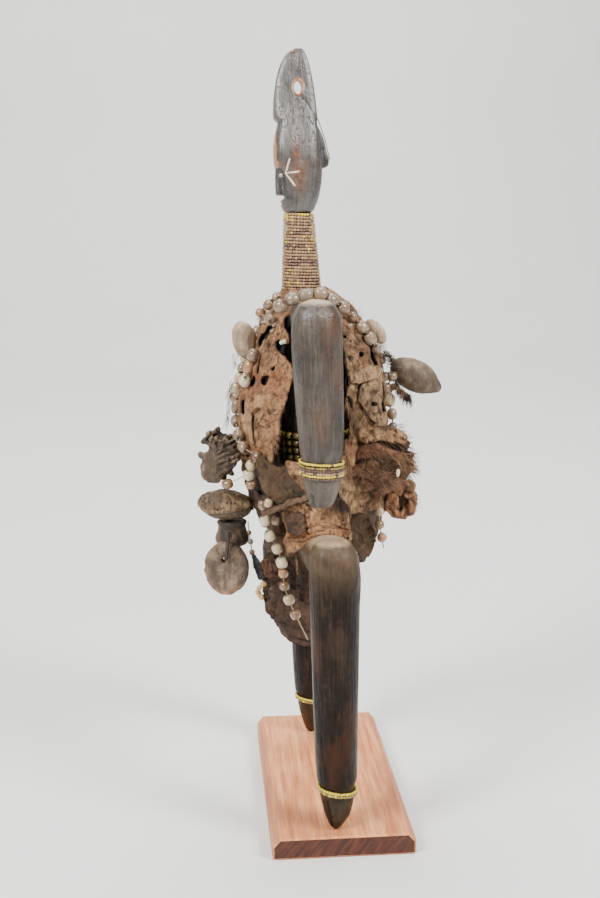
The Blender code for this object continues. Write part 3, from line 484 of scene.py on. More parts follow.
def show(name, mesh, material, nodes=()):
    """Puts a mesh in the scene as a piece of the doll that stands for these CAD nodes."""
    mesh.materials.clear()
    mesh.materials.append(material)
    mesh.shade_smooth()
    obj = bpy.data.objects.new(name, mesh)
    bpy.context.scene.collection.objects.link(obj)
    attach(obj, "root")
    if nodes:
        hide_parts(*nodes)
    return obj


def give_values(mesh, name, values):
    layer = mesh.attributes.new(name, "FLOAT", "POINT")
    layer.data.foreach_set("value", np.array(values, dtype=np.float32))


def smooth_between(value, low, high):
    """0 below low, 1 above high and an S curve between them."""
    share = min(max((value - low) / (high - low), 0.0), 1.0)
    return share * share * (3 - 2 * share)


def rough(point, scale, seed=0.0, octaves=3):
    """Fractal noise, about -1 to 1; a different seed looks at another part of it."""
    return noise.fractal(point * scale + Vector((seed, seed * 1.3, -seed)), 1.0, 2.0, octaves)


def look_up(rows, key):
    """The rows' other columns at this key, on a smooth curve that never overshoots its rows."""
    rows = sorted(rows)
    keys = [row[0] for row in rows]
    key = min(max(key, keys[0]), keys[-1])
    index = min(max(np.searchsorted(keys, key) - 1, 0), len(rows) - 2)
    low, high = rows[index], rows[index + 1]
    width = high[0] - low[0]
    share = (key - low[0]) / width
    found = []
    for column in range(1, len(low)):
        here = (high[column] - low[column]) / width
        before = (low[column] - rows[index - 1][column]) / (low[0] - rows[index - 1][0]) if index else here
        after = here
        if index + 2 < len(rows):
            after = (rows[index + 2][column] - high[column]) / (rows[index + 2][0] - high[0])
        start = 0.0 if before * here <= 0 else 2 * before * here / (before + here)
        end = 0.0 if after * here <= 0 else 2 * after * here / (after + here)
        squared, cubed = share * share, share ** 3
        found.append(low[column] * (2 * cubed - 3 * squared + 1) + start * width * (cubed - 2 * squared + share)
                     + high[column] * (3 * squared - 2 * cubed) + end * width * (cubed - squared))
    return found


def ring_at(middle, across, along, half, ahead, behind, squareness, sides):
    """A rounded ring: squareness 2 is an ellipse, and more is boxier."""
    points = []
    power = 2 / squareness
    for step in range(sides):
        turn = 2 * math.pi * (step + 0.5) / sides
        side, front = math.sin(turn), math.cos(turn)
        out = math.copysign(abs(side) ** power, side) * half
        depth = math.copysign(abs(front) ** power, front) * (ahead if front > 0 else behind)
        points.append(middle + across * out + along * depth)
    return points


def solid_of(name, ring_lists):
    """One mesh of several closed lofts, for a voxel remesh."""
    heap = Heap()
    for rings in ring_lists:
        heap.rings(rings)
    mesh = heap.mesh(name)
    shape = bmesh.new()
    shape.from_mesh(mesh)
    bmesh.ops.recalc_face_normals(shape, faces=shape.faces)
    shape.to_mesh(mesh)
    shape.free()
    return mesh


def evaluated(mesh, *changes):
    """The mesh after modifiers, given as (kind, settings)."""
    obj = bpy.data.objects.new("working", mesh)
    bpy.context.scene.collection.objects.link(obj)
    for kind, settings in changes:
        modifier = obj.modifiers.new(kind.lower(), kind)
        for key, value in settings.items():
            setattr(modifier, key, value)
    bpy.context.view_layer.update()
    graph = bpy.context.evaluated_depsgraph_get()
    result = bpy.data.meshes.new_from_object(obj.evaluated_get(graph))
    bpy.data.objects.remove(obj)
    return result


def cut_away(mesh, cutter_mesh):
    cutter = bpy.data.objects.new("cutter", cutter_mesh)
    bpy.context.scene.collection.objects.link(cutter)
    result = evaluated(mesh, ("BOOLEAN", {"operation": "DIFFERENCE", "solver": "EXACT", "object": cutter}))
    bpy.data.objects.remove(cutter)
    return result


def fused(mesh, voxel, smoothing=2):
    """The outer skin of a mesh's overlapping forms, evened out."""
    return evaluated(mesh, ("REMESH", {"mode": "VOXEL", "voxel_size": voxel}),
                     ("SMOOTH", {"factor": 0.5, "iterations": smoothing}))


def displaced(mesh, relief):
    """Moves each point along its normal by relief(point, normal), which also returns its shade, worn and pale."""
    found = [relief(vert.co, vert.normal) for vert in mesh.vertices]
    moves = [vert.co + vert.normal * values[0] for vert, values in zip(mesh.vertices, found)]
    for vert, spot in zip(mesh.vertices, moves):
        vert.co = spot
    for column, name in enumerate(("shade", "worn", "pale"), 1):
        give_values(mesh, name, [values[column] for values in found])
    mesh.update()
    return mesh


def weathered(name, node, voxel, relief, material, smoothing=2, rounding=0, knobs=()):
    """A finely remeshed copy of a CAD node with relief, which stands for it.

    Rounding first rounds its facets; knobs are balls melted into it: picture point, X and radius.
    """
    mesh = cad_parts[node].data.copy()
    if rounding:
        mesh = evaluated(mesh, ("WELD", {"merge_threshold": 0.00001}),
                         ("SUBSURF", {"levels": rounding, "render_levels": rounding}))
    if knobs:
        shape = bmesh.new()
        shape.from_mesh(mesh)
        for px, py, x, radius in knobs:
            bmesh.ops.create_icosphere(shape, subdivisions=3, radius=radius * MM,
                                       matrix=Matrix.Translation(seen(px, py, x)))
        shape.to_mesh(mesh)
        shape.free()
    mesh = fused(mesh, voxel, smoothing)
    return show(name, displaced(mesh, relief), material, (node,))


CURVE_STEPS = 12


def smooth_route(points, spacing):
    """Evenly spaced points on a smooth curve through these."""
    ends = [points[0] * 2 - points[1], *points, points[-1] * 2 - points[-2]]
    fine = []
    for before, start, end, after in zip(ends, ends[1:], ends[2:], ends[3:]):
        for step in range(CURVE_STEPS):
            t = step / CURVE_STEPS
            fine.append(0.5 * ((2 * start) + (end - before) * t
                               + (2 * before - 5 * start + 4 * end - after) * t * t
                               + (3 * start - before - 3 * end + after) * t ** 3))
    fine.append(points[-1])
    lengths = [0.0]
    for start, end in zip(fine, fine[1:]):
        lengths.append(lengths[-1] + (end - start).length)
    count = max(round(lengths[-1] / spacing), 1)
    even = []
    index = 0
    for step in range(count + 1):
        wanted = lengths[-1] * step / count
        while index < len(lengths) - 2 and lengths[index + 1] < wanted:
            index += 1
        share = (wanted - lengths[index]) / max(lengths[index + 1] - lengths[index], 1e-9)
        even.append(fine[index].lerp(fine[index + 1], share))
    return even


def side_axes(direction):
    """Two directions square to this one and to each other."""
    direction = direction.normalized()
    helper = X_AXIS if abs(direction.x) < 0.8 else Z_AXIS
    across = direction.cross(helper).normalized()
    return across, direction.cross(across).normalized()


def circle(across, along, count):
    """Unit vectors to the corners of a regular ring."""
    turns = [2 * math.pi * step / count for step in range(count)]
    return [across * math.cos(turn) + along * math.sin(turn) for turn in turns]


def add_tube(heap, points, radii, sides, tint, lumps=0.0):
    """A lumpy round tube along these points."""
    rows = []
    for index, (point, radius) in enumerate(zip(points, radii)):
        ahead = points[min(index + 1, len(points) - 1)] - points[max(index - 1, 0)]
        rows.append([point + spot * (radius * (1 + lumps * rough(point + spot * radius, 500, 3.0, 2)))
                     for spot in circle(*side_axes(ahead), sides)])
    heap.rings(rows, tint)


# A bead's outline: share of its half length, share of its radius
BEAD_HOLE_SHADE, BEAD_RIM_SHADE = 0.75, 0.25
BEAD_PROFILE = ((-0.90, 0.20), (-1.0, 0.30), (-0.98, 0.52), (-0.80, 0.76), (-0.45, 0.95), (0.0, 1.0),
                (0.45, 0.95), (0.80, 0.76), (0.98, 0.52), (1.0, 0.30), (0.90, 0.20))
TINY_PROFILE = ((-0.75, 0.45), (-0.95, 0.75), (0.0, 1.0), (0.95, 0.75), (0.75, 0.45))


def add_bead(heap, centre, axis, radius, half_length, tint, sides=16, lumps=0.05, profile=BEAD_PROFILE,
             taper=0.0):
    """A worn bead with its thread hole's dimples; taper makes it a teardrop, narrow at its start."""
    axis = axis.normalized()
    corners = circle(*side_axes(axis), sides)
    rows, shades = [], []
    for reach, size in profile:
        row = []
        narrowed = size * (1 - taper * max(-reach, 0.0))
        for spot in corners:
            point = spot * (radius * narrowed) + axis * (half_length * reach)
            bump = 1 + lumps * rough(centre + point, 260, 7.0, 2)
            row.append(centre + point * bump)
        rows.append(row)
        shades.append(BEAD_HOLE_SHADE if size < 0.35 else (BEAD_RIM_SHADE if size < 0.6 else 0.0))
    heap.rings(rows, tint, shades)


HAIR_TAPER = 0.85


def any_way(chance):
    """A random vector from a box of side 2."""
    return Vector((chance.uniform(-1, 1), chance.uniform(-1, 1), chance.uniform(-1, 1)))


def add_hair(heap, root, direction, length, droop, width, tint, chance, steps=4, wave=0.3):
    """A tapered three-sided hair that waves and droops."""
    direction = direction.normalized()
    rows = []
    point = root.copy()
    for step in range(steps + 1):
        radius = width * (1 - HAIR_TAPER * step / steps) / 2
        rows.append([point + spot * radius for spot in circle(*side_axes(direction), 3)])
        direction = (direction + any_way(chance) * wave - Z_AXIS * droop).normalized()
        point = point + direction * (length / steps)
    heap.rings(rows, tint)


def inside(outline, px, py):
    odd = False
    for (x0, y0), (x1, y1) in zip(outline, outline[1:] + outline[:1]):
        if (y0 > py) != (y1 > py) and px < (x1 - x0) * (py - y0) / (y1 - y0) + x0:
            odd = not odd
    return odd


def edge_distance(outline, px, py):
    best = 1e9
    for (x0, y0), (x1, y1) in zip(outline, outline[1:] + outline[:1]):
        dx, dy = x1 - x0, y1 - y0
        share = min(max(((px - x0) * dx + (py - y0) * dy) / (dx * dx + dy * dy), 0.0), 1.0)
        best = min(best, math.hypot(px - x0 - share * dx, py - y0 - share * dy))
    return best


# Cords: free threads with their beads

TINTS = {
    "white": (0.70, 0.58, 0.37), "cream": (0.54, 0.41, 0.235), "pearl": (0.255, 0.175, 0.108),
    "grey": (0.195, 0.155, 0.115), "tan": (0.235, 0.128, 0.060), "brown": (0.135, 0.065, 0.030),
    "peach": (0.43, 0.22, 0.105), "pink": (0.24, 0.125, 0.078), "dusty": (0.215, 0.138, 0.080),
}
THREAD_RADIUS = 0.0004
FRONT_STRING = ((46.0, -45.5, 202.5), (46.5, -45.8, 196.0), (46.0, -44.2, 189.5), (45.0, -41.8, 180.5),
                (45.0, -37.2, 171.8), (45.0, -34.2, 163.2), (45.0, -33.0, 154.2), (45.0, -32.4, 146.3),
                (45.0, -29.6, 137.0), (45.0, -25.8, 127.5), (45.0, -21.4, 118.0), (45.0, -17.7, 109.8))
BACK_STRING = ((50.0, 27.6, 200.6), (50.0, 27.8, 195.5), (50.0, 27.4, 187.0), (50.0, 28.8, 179.0),
               (50.0, 30.2, 170.6))
SPOOL_STRING = ((20.0, -53.8, 182.6), (20.0, -53.4, 176.0), (20.0, -52.2, 167.0), (20.0, -51.2, 158.0),
                (20.0, -50.6, 151.0))
# Picture point, radius in metres, tint and teardrop taper of each bead
FRONT_STRING_BEADS = ((256, 494, 0.0030, "pink", 0.0), (261, 507, 0.0022, "white", 0.0),
                      (264, 521, 0.0035, "white", 0.0), (269, 535.5, 0.0037, "white", 0.0),
                      (277.5, 548, 0.0034, "cream", 0.0), (282.5, 562, 0.0038, "white", 0.0),
                      (283.5, 574, 0.0032, "peach", 0.0), (284, 586, 0.0031, "tan", 0.0),
                      (289, 600, 0.0036, "cream", 0.0), (295.5, 614, 0.0033, "tan", 0.0))
BACK_STRING_BEADS = ((380, 511, 0.0030, "cream", 0.45), (381, 524, 0.0031, "dusty", 0.2),
                     (384, 536, 0.0032, "peach", 0.4))
SPOOL_STRING_BEADS = ((250, 532, 0.0016, "brown", 0.0), (250.5, 542, 0.0019, "grey", 0.0),
                      (253, 552, 0.0019, "tan", 0.0))

# The thread from the crest's hole: out from the middle, across and height over the feet, in millimetres
CREST_THREAD = ((7.0, -16.9, 450.5), (7.2, -13.5, 446.0), (7.3, -10.5, 440.5), (6.4, -7.8, 436.5),
                (4.2, -6.0, 433.8), (2.3, -5.1, 431.6), (1.0, -3.7, 428.0), (0.4, -2.0, 423.6),
                (0.2, -0.2, 416.4), (0.2, 1.2, 411.0))


def free_thread(name, node, points, radius, material):
    """A limp thread along these points, which stands for this CAD node."""
    curve = bpy.data.curves.new(name, "CURVE")
    curve.dimensions = "3D"
    curve.bevel_depth = radius
    curve.bevel_resolution = 2
    curve.use_fill_caps = True
    spline = curve.splines.new("POLY")
    spline.points.add(len(points) - 1)
    for target, point in zip(spline.points, points):
        target.co = (*point, 1.0)
    curve.materials.append(material)
    thread = bpy.data.objects.new(name, curve)
    bpy.context.scene.collection.objects.link(thread)
    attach(thread, "root")
    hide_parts(node)


def hanging_thread(name, node, route, beads):
    """A thread that hangs free, with each bead at the point that the picture shows it nearest to."""
    points = smooth_route([Vector((x * MM, y * MM, level(height))) for x, y, height in route], 0.0012)
    spots = [pixel_of(point) for point in points]
    heap = Heap()
    for px, py, radius, tint, taper in beads:
        nearest = min(range(len(points)),
                      key=lambda spot: math.hypot(spots[spot][0] - px, spots[spot][1] - py))
        nearest = min(max(nearest, 2), len(points) - 3)
        axis = points[nearest + 2] - points[nearest - 2]
        add_bead(heap, points[nearest], axis, radius, radius * 0.94, TINTS[tint], 20, 0.05, taper=taper)
    piece = heap.piece(f"{name}_beads", BEAD_GLASS, "large_beads", (node,))
    free_thread(name, node, points, THREAD_RADIUS, THREAD)


add_camera()
hanging_thread("front_string", "bead_string_front", FRONT_STRING, FRONT_STRING_BEADS)
hanging_thread("back_string", "bead_string_back", BACK_STRING, BACK_STRING_BEADS)
hanging_thread("spool_string", "bead_string_spool", SPOOL_STRING, SPOOL_STRING_BEADS)
free_thread("crest_cord", "crest_thread", smooth_route([place(*spot) for spot in CREST_THREAD], 0.0014), 0.00028,
            DARK_CORD)

# The figure

# Height, front, back and half width of the head's forms; height, radius and middle of the limbs
HEAD = (
    (379.0, -27.6, -10.2, 9.0), (380.2, -28.8, -9.0, 10.0), (383.0, -29.1, -7.8, 10.9),
    (388.5, -27.6, -5.8, 11.8), (398.0, -28.6, -4.2, 13.0), (404.6, -30.4, -4.0, 13.8),
    (406.0, -33.2, -4.1, 14.0), (410.6, -33.9, -4.5, 14.2), (416.0, -34.2, -4.9, 14.0),
    (424.0, -33.4, -5.6, 12.8), (429.4, -32.1, -6.3, 11.2), (433.5, -31.4, -7.0, 9.8),
    (434.8, -33.4, -6.8, 9.3), (436.2, -34.0, -6.7, 8.9), (444.2, -33.9, -7.4, 7.2),
    (452.8, -33.0, -8.4, 6.0), (461.4, -31.4, -9.9, 5.2), (468.6, -28.9, -11.6, 4.5),
    (474.5, -25.1, -13.8, 3.6), (476.6, -22.0, -15.2, 2.6), (477.4, -20.5, -15.6, 2.0),
)
HEAD_SQUARENESS = ((379.0, 2.1), (390.0, 2.3), (402.0, 2.8), (410.0, 3.3), (424.0, 3.4), (436.0, 3.8),
                   (450.0, 4.6), (470.0, 4.0), (477.4, 2.6))
FIN = ((405.6, -12.0, -3.0, 1.9), (407.0, -12.0, 0.0, 2.0), (410.6, -12.0, 0.6, 1.9), (416.0, -12.0, -0.8, 1.8),
       (424.0, -12.0, -2.8, 1.8), (429.4, -13.0, -5.2, 1.8), (433.0, -14.0, -7.4, 1.8))
NOSE = ((405.2, -32.9, -25.0, 2.4), (397.0, -33.1, -25.0, 2.7), (390.2, -33.0, -25.0, 3.2),
        (389.2, -32.6, -25.0, 3.0))
LIPS = ((387.0, -28.6, -24.0, 3.0), (385.4, -30.4, -24.0, 4.6), (383.9, -29.5, -24.0, 4.8),
        (382.8, -30.0, -24.0, 4.4), (381.8, -28.8, -24.0, 3.0))
# Middle, height, width and tallness of the crest's hole
CREST_HOLE = (-18.7, 454.4, 5.1, 7.9)
ARM = (
    (329.5, 4.5, -14.5), (328.0, 8.5, -14.5), (325.0, 11.6, -14.5), (320.0, 13.8, -14.5), (313.0, 14.9, -14.5),
    (304.0, 15.1, -14.4), (283.0, 14.6, -13.6), (241.7, 13.2, -12.2), (235.5, 12.0, -12.1), (222.5, 11.7, -12.1),
    (214.7, 9.7, -12.1), (208.5, 7.3, -12.2), (206.3, 4.6, -12.2),
)
LEG = (
    (186.7, 4.5, -5.6), (185.4, 8.8, -5.6), (182.0, 12.4, -5.6), (175.7, 14.9, -5.2), (161.7, 15.7, -4.5),
    (148.7, 15.2, -4.5), (84.7, 13.9, -4.4), (32.5, 12.5, -3.6), (30.5, 11.0, -3.5), (23.5, 10.7, -3.4),
    (11.7, 8.4, -3.3), (4.0, 5.2, -4.0), (0.0, 2.4, -4.6),
)
LIMB_FLATTENING = 0.96
TRUNK = ((150.5, 11.0), (156.0, 16.0), (168.0, 19.0), (190.0, 20.0), (285.0, 20.0), (305.0, 19.0),
         (318.0, 14.6), (326.0, 12.6), (330.2, 12.2))
SHOULDER_BAR = ((0.0, 13.0, 11.5), (34.0, 12.2, 11.3), (60.0, 12.6, 12.0), (73.0, 11.0, 11.0))
SHOULDER_CENTRE = (-15.0, 315.2)
HIP_BAR = ((0.0, 16.0, 12.5), (40.0, 17.0, 12.7), (62.0, 16.0, 12.2), (74.0, 11.0, 10.0))
HIP_CENTRE = (-5.5, 169.7)
BODY_AXIS = ((165.7, -5.5), (330.7, -16.5))
NECK = ((324.0, 10.1, -17.15), (382.0, 6.95, -18.65))


def body_middle(height):
    """How far across the body's axis is at this height, in millimetres."""
    (low, low_y), (high, high_y) = BODY_AXIS
    share = min(max((height - low) / (high - low), 0.0), 1.0)
    return low_y + (high_y - low_y) * share


def upright_rings(rows, squareness, step, sides):
    """Level sections of a carved form; squareness is a number or a table by height."""
    low, high = min(row[0] for row in rows), max(row[0] for row in rows)
    count = max(round((high - low) / step), 2)
    rings = []
    for index in range(count + 1):
        height = low + (high - low) * index / count
        front, back, half = look_up(rows, height)
        power = look_up(squareness, height)[0] if isinstance(squareness, tuple) else squareness
        depth = (back - front) / 2 * MM
        rings.append(ring_at(place(0, (front + back) / 2, height), X_AXIS, -Y_AXIS, half * MM, depth, depth,
                             power, sides))
    return rings


def limb_rings(rows, side_x, shift, step=1.6, sides=48):
    """Level rounded sections of an arm or a leg from rows of height, radius and middle."""
    low, high = min(row[0] for row in rows), max(row[0] for row in rows)
    count = round((high - low) / step)
    rings = []
    for index in range(count + 1):
        height = low + (high - low) * index / count
        half, middle = look_up(rows, height)
        centre = Vector((side_x, middle * MM + shift, level(height)))
        rings.append(ring_at(centre, X_AXIS, -Y_AXIS, half * MM * LIMB_FLATTENING, half * MM, half * MM, 2,
                             sides))
    return rings


BAR_STEPS = 60


def bar_rings(rows, centre, spread):
    """Upright sections of a bar from side to side, from rows of reach, depth and height."""
    reach = rows[-1][0]
    rings = []
    for index in range(BAR_STEPS + 1):
        out = -reach + 2 * reach * index / BAR_STEPS
        depth, tall = look_up(rows, abs(out))
        middle = Vector((FIGURE_X + out / reach * spread, centre[0] * MM, level(centre[1])))
        rings.append(ring_at(middle, Y_AXIS, Z_AXIS, depth * MM, tall * MM, tall * MM, 2, 40))
    return rings


def round_rings(rows):
    """Round level sections from rows of height, radius and middle."""
    return [ring_at(place(0, middle, height), X_AXIS, -Y_AXIS, half * MM, half * MM, half * MM, 2, 40)
            for height, half, middle in rows]


def bump_at(value, middle, width):
    return math.exp(-((value - middle) / width) ** 2)


def blot(spot, middle, wide, tall):
    """A soft round patch of a picture point, 1 at its middle."""
    return bump_at(spot[0], middle[0], wide) * bump_at(spot[1], middle[1], tall)


def head_relief(point, normal):
    """Tool marks, the flat middle of the cheeks, sockets, lips and rubbed places, in metres and shares; the shade
    is painted shade in the sockets, the mouth and lip lines, under the ledges of the face, at the back beside the
    fin and over the lower head, and pale adds a painted highlight on the crest's front and back edges.
    """
    x = (point.x - FIGURE_X) / MM
    y, height = point.y / MM, (point.z - FOOT_LEVEL) / MM
    sideways = smooth_between(abs(normal.x), 0.35, 0.85)
    out = 0.16 * rough(Vector((point.x, point.y, point.z * 0.3)), 160, 2.0) + 0.07 * rough(point, 600, 5.0)
    out -= 0.9 * sideways * bump_at(y, -19.0, 6.0) * smooth_between(height, 403, 412) * (
        1 - smooth_between(height, 426, 438))
    out -= 0.5 * sideways * bump_at(y, -21.0, 9.0) * smooth_between(height, 440, 446)
    socket = bump_at(y, -30.6, 2.4) * bump_at(height, 400.5, 3.6) * smooth_between(abs(x), 3.0, 5.0)
    out -= 1.5 * socket
    out -= 0.5 * bump_at(height, 384.5, 0.6) * smooth_between(-y, 26.5, 28.5)
    # The shade below is painted shade.
    shade = 0.55 * socket
    shade += 0.75 * bump_at(height, 388.2, 1.0) * smooth_between(-y, 25.0, 28.0)
    shade += 0.35 * bump_at(height, 384.5, 0.5) * smooth_between(-y, 27.0, 28.5)
    shade += 0.7 * bump_at(height, 433.6, 0.7) * smooth_between(-y, 27.0, 31.0)
    shade += 0.45 * smooth_between(y, -5.5, -2.5) * (1 - smooth_between(y, -0.6, 0.4)) * smooth_between(
        430 - height, 0, 4)
    shade += 0.30 * bump_at(height, 404.0, 1.6) * smooth_between(-y, 24.0, 30.0)
    shade += 0.25 * smooth_between(404 - height, 0, 10) * (0.4 + 0.6 * smooth_between(y, -14, -6))
    hole_y, hole_height, wide, tall = CREST_HOLE
    away = math.hypot((y - hole_y) / (wide / 2 + 1.1), (height - hole_height) / (tall / 2 + 1.2))
    worn = 1.0 - smooth_between(away, 0.98, 1.14)
    worn += 0.85 * bump_at(y, -22.0, 3.0) * smooth_between(height, 473.5, 476.0)
    front_edge = smooth_between(-y - (32.4 if height > 410 else 31.0), -1.2, 0.8)
    worn += 0.9 * front_edge * smooth_between(height, 403, 407) * (1 - smooth_between(height, 428, 433))
    worn += 0.62 * bump_at(y, -19.0, 4.6) * bump_at(height, 401.0, 10.5) * sideways
    worn += 0.55 * bump_at(y, -21.5, 2.2) * bump_at(height, 417.0, 6.5) * sideways
    worn += 0.6 * bump_at(y, -27.0, 2.0) * bump_at(height, 407.0, 2.2)
    worn += 0.85 * bump_at(y, -29.0, 1.6) * bump_at(height, 381.4, 1.4)
    pale = 0.35 * bump_at(y, -28.5, 2.5) * bump_at(height, 384.0, 2.6)
    # A painted highlight on the crest's front and back edges.
    pale += 0.30 * smooth_between(abs(normal.y), 0.35, 0.8) * smooth_between(height, 434, 442)
    return out * MM, min(shade, 0.9), min(worn, 1.0), min(pale, 1.0)


HOLE_SIDES = 36


def head_piece():
    forms = [
        upright_rings(HEAD, HEAD_SQUARENESS, 0.8, 88), upright_rings(FIN, 3.4, 0.8, 20),
        upright_rings(NOSE, 4.2, 0.6, 24), upright_rings(LIPS, 1.9, 0.5, 24),
        round_rings(((352.0, 8.6, -17.9), NECK[1])),
    ]
    mesh = fused(solid_of("head", forms), 0.00068, 2)
    hole_y, hole_height, wide, tall = CREST_HOLE
    rings = []
    for out, grow in ((-9.0, 2.1), (-5.6, 1.42), (-4.2, 1.0), (4.2, 1.0), (5.6, 1.42), (9.0, 2.1)):
        ring = []
        for step in range(HOLE_SIDES):
            turn = 2 * math.pi * step / HOLE_SIDES
            narrowing = 1 - 0.35 * max(math.cos(turn), 0) ** 2
            ring.append(place(out, hole_y + math.sin(turn) * wide / 2 * grow * narrowing,
                              hole_height + math.cos(turn) * tall / 2 * grow))
        rings.append(ring)
    mesh = cut_away(mesh, solid_of("hole", [rings]))
    return show("figure_head", displaced(mesh, head_relief), HEAD_WOOD, ("figure",))


# Grooves seen on the near hand and foot: start, end and radius in picture points, depth in millimetres
GROOVES = (((311.5, 497), (313.5, 509), 2.0, 2.0), ((302, 484), (308.5, 503), 0.9, 0.55),
           ((322, 486), (324, 500), 1.2, 0.5),
           ((326, 803), (331, 826), 1.9, 2.2), ((337, 800), (335, 816), 1.1, 0.7),
           ((321, 800), (325, 815), 1.0, 0.5), ((319, 412), (321, 470), 0.7, 0.35),
           ((335, 580), (338, 640), 0.8, 0.4), ((326, 640), (328, 700), 0.7, 0.35),
           ((322, 690), (323, 760), 0.8, 0.4))


def body_relief(point, normal):
    """Grain and grooves of the limbs and trunk, painted shade in the grooves and on the foot tips, and dust on
    hands, feet and hips.
    """
    streak = Vector((point.x, point.y, point.z * 0.08))
    out = 0.22 * rough(streak, 230, 4.0) + 0.10 * rough(streak, 700, 6.0) + 0.08 * rough(point, 300, 8.0)
    shade = 0.0
    if normal.x > 0.1:
        px, py = pixel_of(point)
        for start, end, radius, depth in GROOVES:
            away = edge_distance([start, end], px, py) / radius
            if away < 2.5:
                hollow = math.exp(-away * away)
                out -= depth * hollow
                # Painted shade in the groove.
                shade += min(depth * 0.4, 0.9) * hollow
    height = (point.z - FOOT_LEVEL) / MM
    foot_tip = 1 - smooth_between(height, 0, 5)
    lower = 1 - smooth_between(height, 24, 34)
    hand = 0.0
    if abs(point.x - FIGURE_X) > 0.055 and height > 200:
        hand = 1 - smooth_between(height, 222, 236)
    pale = 0.10 * lower + 0.08 * hand + 0.25 * smooth_between(height, 150, 182) * (height < 195)
    return out * MM, min(shade + 0.6 * foot_tip, 0.95), 0.0, pale


BODY_VOXEL = 0.0012


def body_piece(name, forms, material):
    mesh = fused(solid_of(name, forms), BODY_VOXEL)
    return show(name, displaced(mesh, body_relief), material, ("figure",))


# Each side's sign, name and how far its leg is shifted back
SIDES = ((1, "left", 0.0), (-1, "right", FAR_LEG_SHIFT))


def figure():
    head_piece()
    trunk = round_rings([(height, radius, body_middle(height)) for height, radius in TRUNK])
    shoulders = bar_rings(SHOULDER_BAR, SHOULDER_CENTRE, ARM_SPREAD)
    arms = [limb_rings(ARM, FIGURE_X + side * ARM_SPREAD, 0.0) for side, _, _ in SIDES]
    legs = [limb_rings(LEG, FIGURE_X + side * LEG_SPREAD, shift) for side, _, shift in SIDES]
    body_piece("figure_arms", [trunk, round_rings(NECK), shoulders, *arms], ARM_WOOD)
    body_piece("figure_legs", [bar_rings(HIP_BAR, HIP_CENTRE, LEG_SPREAD), *legs], LEG_WOOD)


# Seed beads in rows

YELLOW, DARK_BEAD = (0.70, 0.53, 0.035), (0.075, 0.040, 0.030)
TAN_BEAD, OLIVE = (0.40, 0.245, 0.13), (0.27, 0.215, 0.035)
# Yellow waist beads, painted dark as the shade between the arms and the body.
SHADED_WAIST_YELLOW = (0.155, 0.110, 0.008)


def bead_row(heap, centre, radius, flattening, bead, tint_of, chance, tilt=0.0, sides=7):
    """A ring of beads threaded round a limb; tilt lifts the row at its front."""
    count = int(2 * math.pi * radius / (bead * 0.98))
    for step in range(count):
        turn = 2 * math.pi * (step + chance.uniform(-0.06, 0.06)) / count
        spot = centre + Vector((math.sin(turn) * radius * flattening, -math.cos(turn) * radius, 0))
        spot.z += tilt * math.cos(turn) + chance.uniform(-0.00008, 0.00008)
        axis = Vector((math.cos(turn), math.sin(turn), 0))
        size = bead / 2 * chance.uniform(0.92, 1.05)
        add_bead(heap, spot, axis, size, size * 1.14, tint_of(step / count), sides, 0.0, TINY_PROFILE)


def varied(tint, chance, amount=0.18):
    light = 1 + chance.uniform(-amount, amount)
    return tuple(min(value * light, 1.0) for value in tint)


NECK_ROWS = 25


def neck_beads():
    """Rows of tan beads with dark rows and yellow ones, more of them at the top and toward the edges."""
    chance = random.Random(11)
    heap = Heap()
    for row in range(NECK_ROWS):
        share = (row + 0.5) / NECK_ROWS
        radius = (13.05 + (9.85 - 13.05) * share) * MM - 0.00105
        centre = place(0, -17.15 - 1.5 * share, 330.6 + 48.0 * share)
        dark_row = row in (3, 8, 9, 14, 18, 21)
        yellow_share = (0.035, 0.02, 0.05, 0.10, 0.05, 0.42)[min(row // 5, 4) + (row >= NECK_ROWS - 2)]

        def tint_of(turn, dark_row=dark_row, yellow_share=yellow_share):
            edge = 2.2 if abs(turn - 0.25) > 0.13 else 0.7
            if chance.random() < yellow_share * edge:
                return varied((0.62, 0.47, 0.045), chance)
            if chance.random() < (0.55 if dark_row else 0.10):
                return varied((0.150, 0.082, 0.055), chance, 0.3)
            return varied((0.360, 0.215, 0.108), chance, 0.16)

        bead_row(heap, centre, radius, 1.0, 0.00192, tint_of, chance, 0.0004)
    heap.piece("neck_bead_rows", SEED_GLASS, "seed_beads", ("neck_beads",))


def limb_bead_row(heap, limb, side_x, shift, height, lift, bead, tint_of, chance, tilt):
    half, middle = look_up(limb, height)
    centre = Vector((side_x, middle * MM + shift, level(height)))
    bead_row(heap, centre, half * MM + lift, LIMB_FLATTENING, bead, tint_of, chance, tilt)


